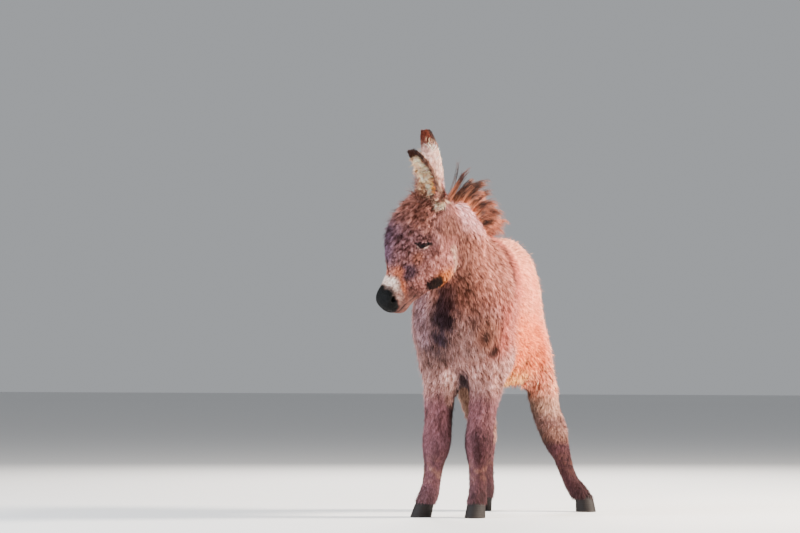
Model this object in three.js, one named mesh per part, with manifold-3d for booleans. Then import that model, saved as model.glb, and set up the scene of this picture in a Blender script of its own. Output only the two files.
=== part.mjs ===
// A young donkey foal, life size, standing with its head turned to its right and its left hind leg spread.
// Millimetres, +Z up. The foal faces -Y, and +X is its own left. Shapes run out to the tips of the coat.
import * as THREE from "three";
import { mergeVertices } from "three/addons/utils/BufferGeometryUtils.js";
import Module from "manifold-3d";

const wasm = await Module();
wasm.setup();
const V = (x, y, z) => new THREE.Vector3(x, y, z);
const RAD = Math.PI / 180;

// ---------- driving dimensions ----------
const WITHERS = 812; // height of the withers
const CROUP = 830; // height of the croup, above the withers as in a young foal
const SEAM = 0.4; // gap that parts neighbouring nodes
const MARGIN = 26; // how far a mesh runs past the plane that trims it
const KNEE_Z = 212;
const HOCK_Z = 244;
const FETLOCK_Z = 72;
const CORONET_Z = 40; // top of each hoof
const FORE_CUT_Z = 384; // where the forearm leaves the body
const HIND_CUT_Z = 402; // where the gaskin leaves the thigh
const HEAD_LENGTH = 352;
const EAR_LENGTH = 186;
const EAR_WIDTH = 66;
const EAR_THICKNESS = 7;
const EYE_RADIUS = 15.5;
const MANE_LENGTH = 88; // of its hair, from the crest
const MANE_THICKNESS = 30;
const HEAD_CELL = 18; // mesh sizes: across the head
const HEAD_CELL_POLL = 23; // and down the face, from the poll
const HEAD_CELL_NOSE = 13; // to the nose
const NECK_CELL = 30;
const TRUNK_CELL = [37, 46, 37];

// The head hangs from the poll. It is turned to the foal's right, pitched down, then rolled about the face.
const POLL = V(10, -256, WITHERS + 106);
const HEAD_TURN = 69 * RAD;
const HEAD_PITCH = 64.5 * RAD;
const HEAD_ROLL = -37 * RAD;

// ---------- implicit shapes: negative inside, about a distance in millimetres outside ----------
const mix = (a, b, t) => a + (b - a) * t;
const smoothMin = (a, b, k) => {
  const h = Math.max(k - Math.abs(a - b), 0) / k;
  return Math.min(a, b) - (h * h * k) / 4;
};

// A limb of elliptic section through stations [centre, half width, half depth], rounded by Catmull-Rom.
// side is the direction of the width, and turns to endSide. egg narrows the upper half of a section.
function limb(stations, { side = V(1, 0, 0), endSide = side, steps = 3, egg = 0 } = {}) {
  const path = new THREE.CatmullRomCurve3(stations.map((s) => s[0]), false, "centripetal");
  const n = (stations.length - 1) * steps;
  const sizeAt = (i, k) => {
    const last = stations.length - 1;
    const f = Math.min((i / n) * last, last - 1e-6);
    const j = Math.floor(f);
    const t = f - j;
    const at = (m) => stations[Math.min(Math.max(m, 0), last)][k];
    const [a, b, c, d] = [at(j - 1), at(j), at(j + 1), at(j + 2)];
    return b + 0.5 * t * (c - a + t * (2 * a - 5 * b + 4 * c - d + t * (3 * (b - c) + d - a)));
  };
  const p = Array.from({ length: n + 1 }, (_, i) => path.getPoint(i / n));
  const w = p.map((_, i) => sizeAt(i, 1));
  const h = p.map((_, i) => sizeAt(i, 2));
  const spans = p.slice(1).map((b, i) => {
    const along = b.clone().sub(p[i]);
    const length = along.length();
    along.normalize();
    const across = side.clone().lerp(endSide, i / n);
    across.addScaledVector(along, -across.dot(along)).normalize();
    return { a: p[i], along, length, across, up: across.clone().cross(along).negate(), i };
  });
  const r = V(0, 0, 0);
  return (q) => {
    let best = 1e9;
    for (const s of spans) {
      r.copy(q).sub(s.a);
      const l = r.dot(s.along);
      const t = Math.min(Math.max(l / s.length, 0), 1);
      const [wide, deep] = [mix(w[s.i], w[s.i + 1], t), mix(h[s.i], h[s.i + 1], t)];
      const v = r.dot(s.up);
      const narrow = wide * (1 - egg * Math.min(Math.max(v / deep, -1), 1));
      const u = r.dot(s.across);
      const m = Math.min(narrow, deep);
      const past = l - t * s.length;
      const k0 = Math.hypot(u / narrow, v / deep, past / m);
      if (k0 < 1e-6) return -m;
      const k1 = Math.hypot(u / narrow ** 2, v / deep ** 2, past / m ** 2);
      best = Math.min(best, (k0 * (k0 - 1)) / k1);
    }
    return best;
  };
}

// An ellipsoid at centre c with radii r along the axes x, y, z.
function ball(c, r, [x, y, z] = [V(1, 0, 0), V(0, 1, 0), V(0, 0, 1)]) {
  const d = V(0, 0, 0);
  return (q) => {
    d.copy(q).sub(c);
    const [a, b, e] = [d.dot(x), d.dot(y), d.dot(z)];
    const k0 = Math.hypot(a / r[0], b / r[1], e / r[2]);
    if (k0 < 1e-6) return -Math.min(...r);
    return (k0 * (k0 - 1)) / Math.hypot(a / r[0] ** 2, b / r[1] ** 2, e / r[2] ** 2);
  };
}

const fuse = (k, ...shapes) => (q) => shapes.reduce((d, f) => smoothMin(d, f(q), k), 1e6);

// ---------- trunk and neck ----------
// Stations run from breast to rump: [centre x, y, top z, bottom z, half width].
const TRUNK = [
  [-6, -88, 664, 476, 78],
  [-4, -40, 730, 412, 104],
  [0, 30, 786, 390, 122],
  [3, 110, WITHERS, 380, 128],
  [0, 200, 802, 388, 130],
  [-8, 285, CROUP - 12, 430, 116],
  [-15, 355, CROUP, 466, 101],
  [-20, 420, CROUP - 22, 512, 87],
  [-23, 474, CROUP - 66, 570, 66],
];
const BODY_LEAN = -3 * RAD; // the back lies to the foal's right of the belly
const trunk = limb(
  TRUNK.map(([x, y, top, bottom, w]) => [V(x, y, (top + bottom) / 2), w, (top - bottom) / 2]),
  { side: V(Math.cos(BODY_LEAN), 0, -Math.sin(BODY_LEAN)), egg: 0.26 },
);

const NECK = [
  [V(6, 74, 652), 84, 140],
  [V(14, -6, 700), 78, 126],
  [V(26, -76, 760), 68, 104],
  [V(32, -138, 816), 60, 84],
  [V(26, -192, 858), 54, 70],
];
const neck = limb(NECK, { side: V(1, 0, -0.1), endSide: V(0.82, -0.5, -0.2), egg: 0.12 });

// ---------- head ----------
const face = V(-Math.sin(HEAD_TURN), -Math.cos(HEAD_TURN), 0)
  .multiplyScalar(Math.cos(HEAD_PITCH))
  .addScaledVector(V(0, 0, -1), Math.sin(HEAD_PITCH));
const levelBrow = V(0, 0, 1).addScaledVector(face, Math.sin(HEAD_PITCH)).normalize();
const brow = levelBrow.clone().applyAxisAngle(face, HEAD_ROLL);
const cheek = brow.clone().cross(face); // towards the foal's own left side
// A place on the head: s down the face from the poll, n out of the forehead, l to the left.
const onHead = (s, n, l) =>
  POLL.clone().addScaledVector(face, s).addScaledVector(brow, n).addScaledVector(cheek, l);
const HEAD_AXES = [face, brow, cheek];

// Stations down the face: [s, brow side n, jaw side n, half width].
const HEAD = [
  [22, 60, -62, 53],
  [62, 88, -88, 67],
  [106, 97, -112, 73],
  [148, 86, -130, 71],
  [190, 65, -134, 62],
  [232, 48, -110, 50],
  [270, 39, -82, 43],
  [300, 35, -64, 41],
  [HEAD_LENGTH - 36, 30, -54, 38],
];
const skull = limb(
  HEAD.map(([s, front, back, w]) => [onHead(s, (front + back) / 2, 0), w, (front - back) / 2]),
  { side: cheek },
);
const bothSides = (f) => [1, -1].map(f);
const headShape = fuse(
  16,
  fuse(26, skull, ...bothSides((d) => ball(onHead(176, -78, d * 42), [60, 54, 29], HEAD_AXES))), // cheeks
  ...bothSides((d) => ball(onHead(124, 26, d * 56), [26, 20, 19], HEAD_AXES)), // brows over the eyes
  ...bothSides((d) => ball(onHead(HEAD_LENGTH - 34, 2, d * 25), [24, 22, 17], HEAD_AXES)), // nostrils
  ball(onHead(HEAD_LENGTH - 36, -54, 0), [26, 16, 25], HEAD_AXES), // chin
  ball(onHead(30, -20, 0), [44, 58, 50], HEAD_AXES), // poll
);

// ---------- legs ----------
// Stations from the body down: [x, y, z, half width, half depth].
const FORE = {
  left: [
    [64, 30, 470, 56, 66],
    [64, 8, 405, 50, 56],
    [62, -4, 345, 44, 48],
    [57, -18, 280, 40, 42],
    [55, -27, KNEE_Z + 22, 43, 43],
    [54, -29, KNEE_Z - 12, 40, 40],
    [51, -26, 160, 29, 31],
    [50, -26, 108, 25, 28],
    [52, -28, FETLOCK_Z, 27, 33],
    [53, -46, CORONET_Z + 2, 28, 31],
  ],
  right: [
    [-80, 30, 470, 56, 66],
    [-80, 8, 405, 50, 56],
    [-79, -4, 345, 45, 48],
    [-76, -18, 280, 41, 42],
    [-77, -27, KNEE_Z + 22, 43, 43],
    [-79, -29, KNEE_Z - 12, 40, 40],
    [-86, -26, 160, 30, 31],
    [-93, -27, 108, 26, 28],
    [-99, -30, FETLOCK_Z, 27, 33],
    [-107, -46, CORONET_Z + 2, 28, 31],
  ],
};
const HIND = {
  left: [
    [22, 404, 650, 50, 84],
    [62, 384, 530, 52, 86],
    [88, 370, 450, 50, 70],
    [99, 384, 372, 46, 56],
    [103, 408, 305, 43, 48],
    [116, 434, HOCK_Z + 6, 43, 48],
    [124, 444, HOCK_Z - 32, 37, 40],
    [136, 456, 172, 27, 31],
    [151, 472, 112, 22, 27],
    [172, 486, FETLOCK_Z - 6, 25, 32],
    [200, 480, CORONET_Z + 2, 28, 31],
  ],
  right: [
    [-60, 404, 650, 54, 84],
    [-100, 378, 530, 60, 86],
    [-119, 362, 450, 54, 70],
    [-124, 376, 372, 43, 54],
    [-118, 404, 305, 37, 46],
    [-106, 434, HOCK_Z + 10, 35, 48],
    [-106, 446, HOCK_Z - 32, 32, 40],
    [-108, 452, 172, 26, 30],
    [-108, 453, 112, 24, 28],
    [-107, 450, FETLOCK_Z, 27, 33],
    [-106, 432, CORONET_Z + 2, 28, 31],
  ],
};
const HOOF_TURN = { foreleft: 2, foreright: -24, hindleft: 40, hindright: -4 }; // degrees about +Z
const legSide = (degrees) => V(Math.cos(degrees * RAD), Math.sin(degrees * RAD), 0);
const LEG_SIDE = {
  foreleft: legSide(0),
  foreright: legSide(-6),
  hindleft: legSide(16),
  hindright: legSide(-6),
};
const legCurve = (stations) =>
  new THREE.CatmullRomCurve3(stations.map(([x, y, z]) => V(x, y, z)), false, "centripetal");
const legLimb = (stations, side) =>
  limb(stations.map(([x, y, z, w, h]) => [V(x, y, z), w, h]), { side });

const LEGS = {};
for (const [pair, sides] of Object.entries({ fore: FORE, hind: HIND }))
  for (const [hand, stations] of Object.entries(sides))
    LEGS[pair + hand] = { stations, pair, hand, shape: legLimb(stations, LEG_SIDE[pair + hand]) };

// The points of the shoulders and the heels of the hocks stand out from the limbs.
const shoulders = [
  limb([
    [V(52, 92, 730), 46, 60],
    [V(80, -20, 610), 50, 70],
    [V(72, -46, 540), 52, 56],
    [V(66, 20, 470), 54, 62],
  ]),
  limb([
    [V(-34, 92, 720), 46, 60],
    [V(-78, -24, 610), 50, 70],
    [V(-84, -50, 540), 52, 56],
    [V(-84, 20, 470), 54, 62],
  ]),
];
const hockHeel = ({ stations }, side) => {
  const [x, y, z] = stations[5];
  const back = V(-side.y, side.x, 0);
  return ball(V(x, y, z + 16).addScaledVector(back, 30), [17, 20, 30], [side, back, V(0, 0, 1)]);
};
const legShapes = Object.entries(LEGS).map(([name, leg]) =>
  leg.pair === "hind" ? fuse(24, leg.shape, hockHeel(leg, LEG_SIDE[name])) : leg.shape,
);

// ---------- the whole body ----------
const belly = ball(V(8, 190, 502), [116, 170, 122]);
const flankFolds = [ball(V(70, 286, 458), [36, 70, 60]), ball(V(-92, 282, 458), [36, 70, 60])];
const torsoShape = fuse(70, fuse(40, trunk, belly), neck, ...shoulders, ...flankFolds);
const headlessShape = fuse(55, torsoShape, ...legShapes);
const bodyShape = (q) => smoothMin(headlessShape(q), headShape(q), 30);

// ---------- meshing: rays cast from the middle of each ring out to the surface ----------
// rings are {c, e1, e2}. A blunt end is closed by a fan of tilted rings round the end ring's middle.
function castSkin(shape, rings, sides, { fans, reach }) {
  const hit = (from, way) => {
    let lo = 0;
    let hi = 0;
    const q = V(0, 0, 0);
    const step = 7;
    while (hi < reach) {
      hi += step;
      if (shape(q.copy(from).addScaledVector(way, hi)) > 0) break;
      lo = hi;
    }
    for (let i = 0; i < 14; i++) {
      const mid = (lo + hi) / 2;
      if (shape(q.copy(from).addScaledVector(way, mid)) > 0) hi = mid;
      else lo = mid;
    }
    return from.clone().addScaledVector(way, lo);
  };
  const loop = (c, e1, e2, axis, tilt) =>
    Array.from({ length: sides }, (_, j) => {
      const a = (j / sides) * 2 * Math.PI;
      const way = e1.clone().multiplyScalar(Math.cos(a)).addScaledVector(e2, Math.sin(a));
      way.multiplyScalar(Math.cos(tilt)).addScaledVector(axis, Math.sin(tilt));
      return hit(c, way);
    });
  const axisOf = ({ e1, e2 }) => e1.clone().cross(e2).normalize();
  const loops = [];
  const fan = (ring, out, count, first) => {
    const tilts = Array.from({ length: count }, (_, i) => ((i + 1) / (count + 1)) * (Math.PI / 2));
    if (first) tilts.reverse();
    return tilts.map((t) => loop(ring.c, ring.e1, ring.e2, out, t));
  };
  const [start, end] = [rings[0], rings.at(-1)];
  const outStart = axisOf(start).negate();
  const outEnd = axisOf(end);
  loops.push(...fan(start, outStart, fans[0], true));
  loops.push(...rings.map((r) => loop(r.c, r.e1, r.e2, axisOf(r), 0)));
  loops.push(...fan(end, outEnd, fans[1], false));
  const poles = [
    fans[0] ? hit(start.c, outStart) : start.c,
    fans[1] ? hit(end.c, outEnd) : end.c,
  ];
  return closeLoops(loops, poles);
}

// Grid places from low to high, with steps that grow or shrink evenly from first to last.
function ticks(low, high, first, last = first) {
  const places = [low];
  while (places.at(-1) < high) {
    const t = (places.at(-1) - low) / (high - low);
    places.push(places.at(-1) + mix(first, last, t));
  }
  return places;
}

// A mesh of a shape's surface on a grid of cells: one vertex in each cell that the surface crosses.
// The grid is given by its origin, its axes and its places along each of them.
function netSkin(shape, { origin, axes, places }) {
  const [nx, ny, nz] = places.map((list) => list.length);
  const place = (axis, f) => {
    const i = Math.min(Math.floor(f), places[axis].length - 2);
    return mix(places[axis][i], places[axis][i + 1], f - i);
  };
  const at = (i, j, k) =>
    origin.clone()
      .addScaledVector(axes[0], place(0, i))
      .addScaledVector(axes[1], place(1, j))
      .addScaledVector(axes[2], place(2, k));
  const slot = (i, j, k) => (i * ny + j) * nz + k;
  const values = new Float64Array(nx * ny * nz);
  for (let i = 0; i < nx; i++)
    for (let j = 0; j < ny; j++)
      for (let k = 0; k < nz; k++) {
        const onWall = !i || !j || !k || i === nx - 1 || j === ny - 1 || k === nz - 1;
        values[slot(i, j, k)] = onWall ? Math.max(shape(at(i, j, k)), 1) : shape(at(i, j, k));
      }
  const corners = [0, 1, 2, 3, 4, 5, 6, 7].map((c) => [c & 1, (c >> 1) & 1, c >> 2]);
  const vertexAt = new Int32Array(nx * ny * nz).fill(-1);
  const points = [];
  for (let i = 0; i + 1 < nx; i++)
    for (let j = 0; j + 1 < ny; j++)
      for (let k = 0; k + 1 < nz; k++) {
        const sum = V(0, 0, 0);
        let crossings = 0;
        for (const a of corners)
          for (let axis = 0; axis < 3; axis++) {
            if (a[axis]) continue;
            const b = a.map((v, m) => (m === axis ? 1 : v));
            const va = values[slot(i + a[0], j + a[1], k + a[2])];
            const vb = values[slot(i + b[0], j + b[1], k + b[2])];
            if (va < 0 === vb < 0) continue;
            const t = va / (va - vb);
            sum.add(at(i + mix(a[0], b[0], t), j + mix(a[1], b[1], t), k + mix(a[2], b[2], t)));
            crossings++;
          }
        if (!crossings) continue;
        vertexAt[slot(i, j, k)] = points.length;
        points.push(settle(shape, sum.divideScalar(crossings)));
      }
  const index = [];
  const quad = (a, b, c, d) => {
    const shortAC = points[a].distanceToSquared(points[c]) <= points[b].distanceToSquared(points[d]);
    index.push(...(shortAC ? [a, b, c, a, c, d] : [a, b, d, b, c, d]));
  };
  // The four cells round a grid edge, as steps back along the axes, counterclockwise seen from its far end.
  const around = [
    [[0, 1, 1], [0, 0, 1], [0, 0, 0], [0, 1, 0]],
    [[1, 0, 1], [1, 0, 0], [0, 0, 0], [0, 0, 1]],
    [[1, 1, 0], [0, 1, 0], [0, 0, 0], [1, 0, 0]],
  ];
  for (let i = 0; i + 1 < nx; i++)
    for (let j = 0; j + 1 < ny; j++)
      for (let k = 0; k + 1 < nz; k++)
        for (let axis = 0; axis < 3; axis++) {
          const here = values[slot(i, j, k)] < 0;
          const next = [0, 1, 2].map((m) => (m === axis ? 1 : 0));
          if (here === values[slot(i + next[0], j + next[1], k + next[2])] < 0) continue;
          const ring = around[axis].map(([a, b, c]) => vertexAt[slot(i - a, j - b, k - c)]);
          quad(...(here ? ring : ring.reverse()));
        }
  return solid(points.flatMap((p) => [p.x, p.y, p.z]), index);
}

// Moves a point onto the surface of a shape along its slope, by at most a few millimetres a step.
function settle(shape, p) {
  const e = 0.5;
  const q = V(0, 0, 0);
  for (let i = 0; i < 3; i++) {
    const d = shape(p);
    const slope = V(
      shape(q.set(p.x + e, p.y, p.z)) - shape(q.set(p.x - e, p.y, p.z)),
      shape(q.set(p.x, p.y + e, p.z)) - shape(q.set(p.x, p.y - e, p.z)),
      shape(q.set(p.x, p.y, p.z + e)) - shape(q.set(p.x, p.y, p.z - e)),
    ).divideScalar(2 * e);
    const step = THREE.MathUtils.clamp(d / Math.max(slope.lengthSq(), 0.1), -3, 3);
    p.addScaledVector(slope, -step);
  }
  return p;
}

// Joins loops of points, in order along their axis, into a closed solid with a pole at each end.
function closeLoops(loops, poles) {
  const n = loops[0].length;
  const position = [...loops.flat(), ...poles].flatMap((p) => [p.x, p.y, p.z]);
  const [first, last] = [loops.length * n, loops.length * n + 1];
  const index = [];
  for (let j = 0; j < n; j++) {
    const k = (j + 1) % n;
    index.push(first, k, j);
    for (let i = 0; i + 1 < loops.length; i++) {
      const [a, b, c, d] = [i * n + j, i * n + k, (i + 1) * n + j, (i + 1) * n + k];
      index.push(a, b, d, a, d, c);
    }
    const base = (loops.length - 1) * n;
    index.push(last, base + j, base + k);
  }
  return solid(position, index);
}

// Joins loops of points, in order along their axis, with a flat fan over each end.
function closeSheets(loops) {
  const n = loops[0].length;
  const ends = [loops[0], loops.at(-1)].map((loop) =>
    THREE.ShapeUtils.triangulateShape(flatten(loop), []),
  );
  const position = loops.flat().flatMap((p) => [p.x, p.y, p.z]);
  const index = [];
  const last = (loops.length - 1) * n;
  for (const [a, b, c] of ends[0]) index.push(a, c, b);
  for (const [a, b, c] of ends[1]) index.push(last + a, last + b, last + c);
  for (let i = 0; i + 1 < loops.length; i++)
    for (let j = 0; j < n; j++) {
      const k = (j + 1) % n;
      const [a, b, c, d] = [i * n + j, i * n + k, (i + 1) * n + j, (i + 1) * n + k];
      index.push(a, b, d, a, d, c);
    }
  const made = solid(position, index);
  return made.volume() < 0 ? solid(position, index.toReversed()) : made;
}

// The points of a nearly flat loop in the plane's own two coordinates, counterclockwise.
function flatten(loop) {
  const normal = V(0, 0, 0);
  loop.forEach((p, i) => normal.add(p.clone().cross(loop[(i + 1) % loop.length])));
  normal.normalize();
  const e1 = loop[1].clone().sub(loop[0]).normalize();
  const e2 = normal.clone().cross(e1);
  return loop.map((p) => new THREE.Vector2(p.dot(e1), p.dot(e2)));
}

const largestPiece = (s) => s.decompose().reduce((a, b) => (b.volume() > a.volume() ? b : a));

function solid(position, index) {
  const vertProperties = new Float32Array(position);
  const triVerts = new Uint32Array(index);
  return new wasm.Manifold(new wasm.Mesh({ numProp: 3, vertProperties, triVerts }));
}

// A three.js geometry as a manifold solid.
function solidOf(geometry) {
  const bare = new THREE.BufferGeometry().setAttribute("position", geometry.getAttribute("position"));
  if (geometry.index) bare.setIndex(geometry.index);
  const merged = mergeVertices(bare, 1e-3);
  return solid(merged.attributes.position.array, merged.index.array);
}

const boxSolid = (x0, x1, y0, y1, z0, z1) =>
  solidOf(
    new THREE.BoxGeometry(x1 - x0, y1 - y0, z1 - z0).translate((x0 + x1) / 2, (y0 + y1) / 2, (z0 + z1) / 2),
  );

// Parts a solid at a plane through point with unit normal: [the side it points to, the other side].
function part(s, normal, point) {
  const at = normal.dot(point);
  const back = normal.clone().negate();
  return [
    s.trimByPlane(normal.toArray(), at + SEAM / 2),
    s.trimByPlane(back.toArray(), -at + SEAM / 2),
  ];
}

// ---------- where the nodes part ----------
const inHead = (s, n) => face.clone().multiplyScalar(s).addScaledVector(brow, n).normalize();
const throat = { point: onHead(78, -132, 0), normal: inHead(0.72, 0.694) }; // behind the ears and the jaw
const underJaw = { point: onHead(236, -134, 0), normal: inHead(-0.3, 0.954) }; // between jaw and breast
const neckBase = { point: V(10, -45, 735), normal: V(0.02, -0.526, 0.85).normalize() };
const X = V(1, 0, 0);
const Y = V(0, 1, 0);
const Z = V(0, 0, 1);
const wedge = (q) =>
  Math.max(...[throat, underJaw].map(({ point, normal }) => normal.dot(point) - normal.dot(q)));
const clip = (shape, { point, normal }, keepSide) => {
  const n = normal.clone().multiplyScalar(keepSide);
  const at = n.dot(point) - MARGIN;
  return (q) => Math.max(shape(q), at - n.dot(q));
};

const materials = {
  coat: { color: 0x8a6a5c, roughness: 0.95 },
  flank: { color: 0xb08873, roughness: 0.95 },
  face: { color: 0x7d5f53, roughness: 0.95 },
  muzzle: { color: 0x2a2526, roughness: 0.7 },
  ear: { color: 0xb79a86, roughness: 0.9 },
  eye: { color: 0x120c0a, roughness: 0.08 },
  hoof: { color: 0x2b2624, roughness: 0.55 },
  mane: { color: 0x4a302a, roughness: 0.95 },
  leg: { color: 0x6f5048, roughness: 0.95 },
};
const foal = new THREE.Group();
// Adds a solid as a node, without the crumbs that a cut can leave beside it.
function addNode(name, s, material) {
  const m = largestPiece(s).getMesh();
  const position = new Float32Array(m.numVert * 3);
  for (let i = 0; i < m.numVert; i++) {
    const from = i * m.numProp;
    position.set(m.vertProperties.subarray(from, from + 3), i * 3);
  }
  const geometry = new THREE.BufferGeometry()
    .setAttribute("position", new THREE.BufferAttribute(position, 3))
    .setIndex(new THREE.BufferAttribute(m.triVerts, 1));
  geometry.computeVertexNormals();
  const look = new THREE.MeshStandardMaterial({ metalness: 0, ...materials[material] });
  const mesh = new THREE.Mesh(geometry, look);
  mesh.name = name;
  foal.add(mesh);
  return mesh;
}

// ---------- legs ----------
const LEG_SIDES = 10;
const LEGS_MIDDLE = -9;
const FORE_BOX_Y = 108; // the forelegs lie before this below their cut, and the hind legs behind the next
const HIND_BOX_Y = 292;
function legSolid({ stations, pair, hand }) {
  const curve = legCurve(stations);
  const points = curve.getPoints(240);
  const top = (pair === "fore" ? FORE_CUT_Z : HIND_CUT_Z) + MARGIN;
  const bottom = CORONET_Z + 2;
  const rings = 14;
  const atHeight = (z) => points.reduce((a, b) => (Math.abs(b.z - z) < Math.abs(a.z - z) ? b : a));
  const list = Array.from({ length: rings }, (_, i) => {
    const z = mix(bottom, top, i / (rings - 1));
    const c = atHeight(z);
    return { c: V(c.x, c.y, z), e1: X, e2: Y };
  });
  const ownSide = hand === "left" ? 1 : -1;
  const pastBelly = pair === "fore" ? (q) => q.y - FORE_BOX_Y + SEAM : (q) => HIND_BOX_Y - q.y + SEAM;
  const alone = (q) =>
    Math.max(headlessShape(q), SEAM / 2 - ownSide * (q.x - LEGS_MIDDLE), pastBelly(q));
  return castSkin(alone, list, LEG_SIDES, { fans: [0, 0], reach: 110 });
}

const HOOF_SIDES = 12;
function hoofSolid({ stations }, turn) {
  const [x, y] = stations.at(-1);
  const outline = (z) => {
    const t = 1 - z / (CORONET_Z - 1);
    const [wide, toe, heel] = [mix(27, 31, t), mix(31, 42, t), mix(27, 22, t)];
    return Array.from({ length: HOOF_SIDES }, (_, j) => {
      const a = (j / HOOF_SIDES) * 2 * Math.PI;
      const s = Math.sin(a);
      const long = s < 0 ? toe : heel;
      const p = V(Math.cos(a) * wide, s * long - t * 10, z);
      return p.applyAxisAngle(Z, turn * RAD).add(V(x, y, 0));
    });
  };
  const levels = [0, 3, 20, CORONET_Z - 1];
  const middle = (z) => V(x, y, z);
  return closeLoops(levels.map(outline), [middle(0), middle(CORONET_Z - 1)]);
}

const LEG_CUTS = {
  fore: [
    ["forearm", KNEE_Z + 46],
    ["knee", KNEE_Z - 40],
    ["cannon", FETLOCK_Z + 26],
    ["pastern", CORONET_Z],
  ],
  hind: [
    ["gaskin", HOCK_Z + 48],
    ["hock", HOCK_Z - 52],
    ["cannon", FETLOCK_Z + 24],
    ["pastern", CORONET_Z],
  ],
};
for (const [name, leg] of Object.entries(LEGS)) {
  const top = leg.pair === "fore" ? FORE_CUT_Z : HIND_CUT_Z;
  let [, rest] = part(legSolid(leg), Z, V(0, 0, top));
  for (const [piece, z] of LEG_CUTS[leg.pair]) {
    const [upper, lower] = part(rest, Z, V(0, 0, z));
    const prefix = piece === "cannon" || piece === "pastern" ? leg.pair + "_" : "";
    addNode(prefix + piece + "_" + leg.hand, upper, "leg");
    rest = lower;
  }
  addNode(leg.pair + "_hoof_" + leg.hand, hoofSolid(leg, HOOF_TURN[name]), "hoof");
}

// ---------- trunk ----------
// Boxes below the leg cuts, where the legs leave the body.
const legBoxes = [
  [-240, 240, -140, FORE_BOX_Y, -20, FORE_CUT_Z],
  [-260, 260, HIND_BOX_Y, 620, -20, HIND_CUT_Z],
];
const WORLD = { origin: V(0, 0, 0), axes: [X, Y, Z] };
const trunkNet = netSkin(clip(headlessShape, neckBase, -1), {
  ...WORLD,
  places: [
    ticks(-212, 230, TRUNK_CELL[0]),
    ticks(-158, 620, TRUNK_CELL[1]),
    ticks(318, 900, TRUNK_CELL[2]),
  ],
});
let trunkSolid = part(trunkNet, neckBase.normal, neckBase.point)[1];
for (const [x0, x1, y0, y1, z0, z1] of legBoxes)
  trunkSolid = trunkSolid.subtract(boxSolid(x0, x1, y0, y1, z0, z1 + SEAM / 2));
const BARREL_FRONT = 96;
const BARREL_REAR = 318;
const [behind, forequarters] = part(trunkSolid, Y, V(0, BARREL_FRONT, 0));
const [hindquarters, barrel] = part(behind, Y, V(0, BARREL_REAR, 0));

// The thighs are parted from the rump by slanting planes.
const thighCut = (hand) => ({
  point: V(hand * 52 - 8, 400, 560),
  normal: V(hand * 0.86, 0, -0.5).normalize(),
});
let rump = hindquarters;
for (const [hand, sign] of [["left", 1], ["right", -1]]) {
  const { point, normal } = thighCut(sign);
  const [thigh, kept] = part(rump, normal, point);
  addNode("thigh_" + hand, thigh, "coat");
  rump = kept;
}
let breast = forequarters;
for (const [hand, sign] of [["left", 1], ["right", -1]]) {
  const outward = V(sign * 0.94, 0.28, -0.2).normalize();
  const [shoulder, kept] = part(breast, outward, V(sign * 78, 0, 560));
  addNode("shoulder_" + hand, shoulder, "coat");
  breast = kept;
}
addNode("breast", breast, "coat");
addNode("barrel", barrel, "flank");

// ---------- neck ----------
const neckClipped = clip(bodyShape, neckBase, 1);
const neckNet = netSkin((q) => Math.max(neckClipped(q), -wedge(q) - MARGIN), {
  ...WORLD,
  places: [
    ticks(-150, 190, NECK_CELL),
    ticks(-360, 140, NECK_CELL),
    ticks(540, 1040, NECK_CELL),
  ],
});
const neckWhole = part(neckNet, neckBase.normal, neckBase.point)[0];
const beforeThroat = throat.point.clone().addScaledVector(throat.normal, -SEAM / 2);
const [towardsHead, towardsNeck] = [1, -1].map((d) => {
  const normal = throat.normal.clone().multiplyScalar(d);
  return neckWhole.trimByPlane(normal.toArray(), normal.dot(beforeThroat));
});
const neckSolid = towardsNeck.add(part(towardsHead, underJaw.normal, underJaw.point)[1]);
addNode("neck", neckSolid, "coat");

// ---------- head ----------
const headRegion = (q) => Math.max(bodyShape(q), wedge(q) - MARGIN);
const headNet = netSkin(headRegion, {
  origin: POLL,
  axes: [brow, face, cheek],
  places: [
    ticks(-190, 150, HEAD_CELL),
    ticks(-60, HEAD_LENGTH + 24, HEAD_CELL_POLL, HEAD_CELL_NOSE),
    ticks(-8.5 * HEAD_CELL, 8.5 * HEAD_CELL, HEAD_CELL),
  ],
});
let headSolid = part(part(headNet, throat.normal, throat.point)[0], underJaw.normal, underJaw.point)[0];
// An egg-shaped solid for pits, with radii r along the head's axes.
const pit = (centre, r) => {
  const basis = new THREE.Matrix4().makeBasis(face, brow, cheek.clone().negate()).setPosition(centre);
  return solidOf(new THREE.SphereGeometry(1, 8, 6).scale(...r).applyMatrix4(basis));
};
const eyeCentre = (d) => onHead(138, 22, d * 60);
const nostril = (d) => onHead(HEAD_LENGTH - 40, 7, d * 35);
for (const [hand, d] of [["left", 1], ["right", -1]]) {
  const basis = new THREE.Matrix4().makeBasis(face, cheek, brow).setPosition(eyeCentre(d));
  const sphere = (r) => solidOf(new THREE.SphereGeometry(r, 10, 7).applyMatrix4(basis));
  headSolid = headSolid.subtract(sphere(EYE_RADIUS + SEAM)).subtract(pit(nostril(d), [11, 8, 9]));
  addNode("eye_" + hand, sphere(EYE_RADIUS), "eye");
}

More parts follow.
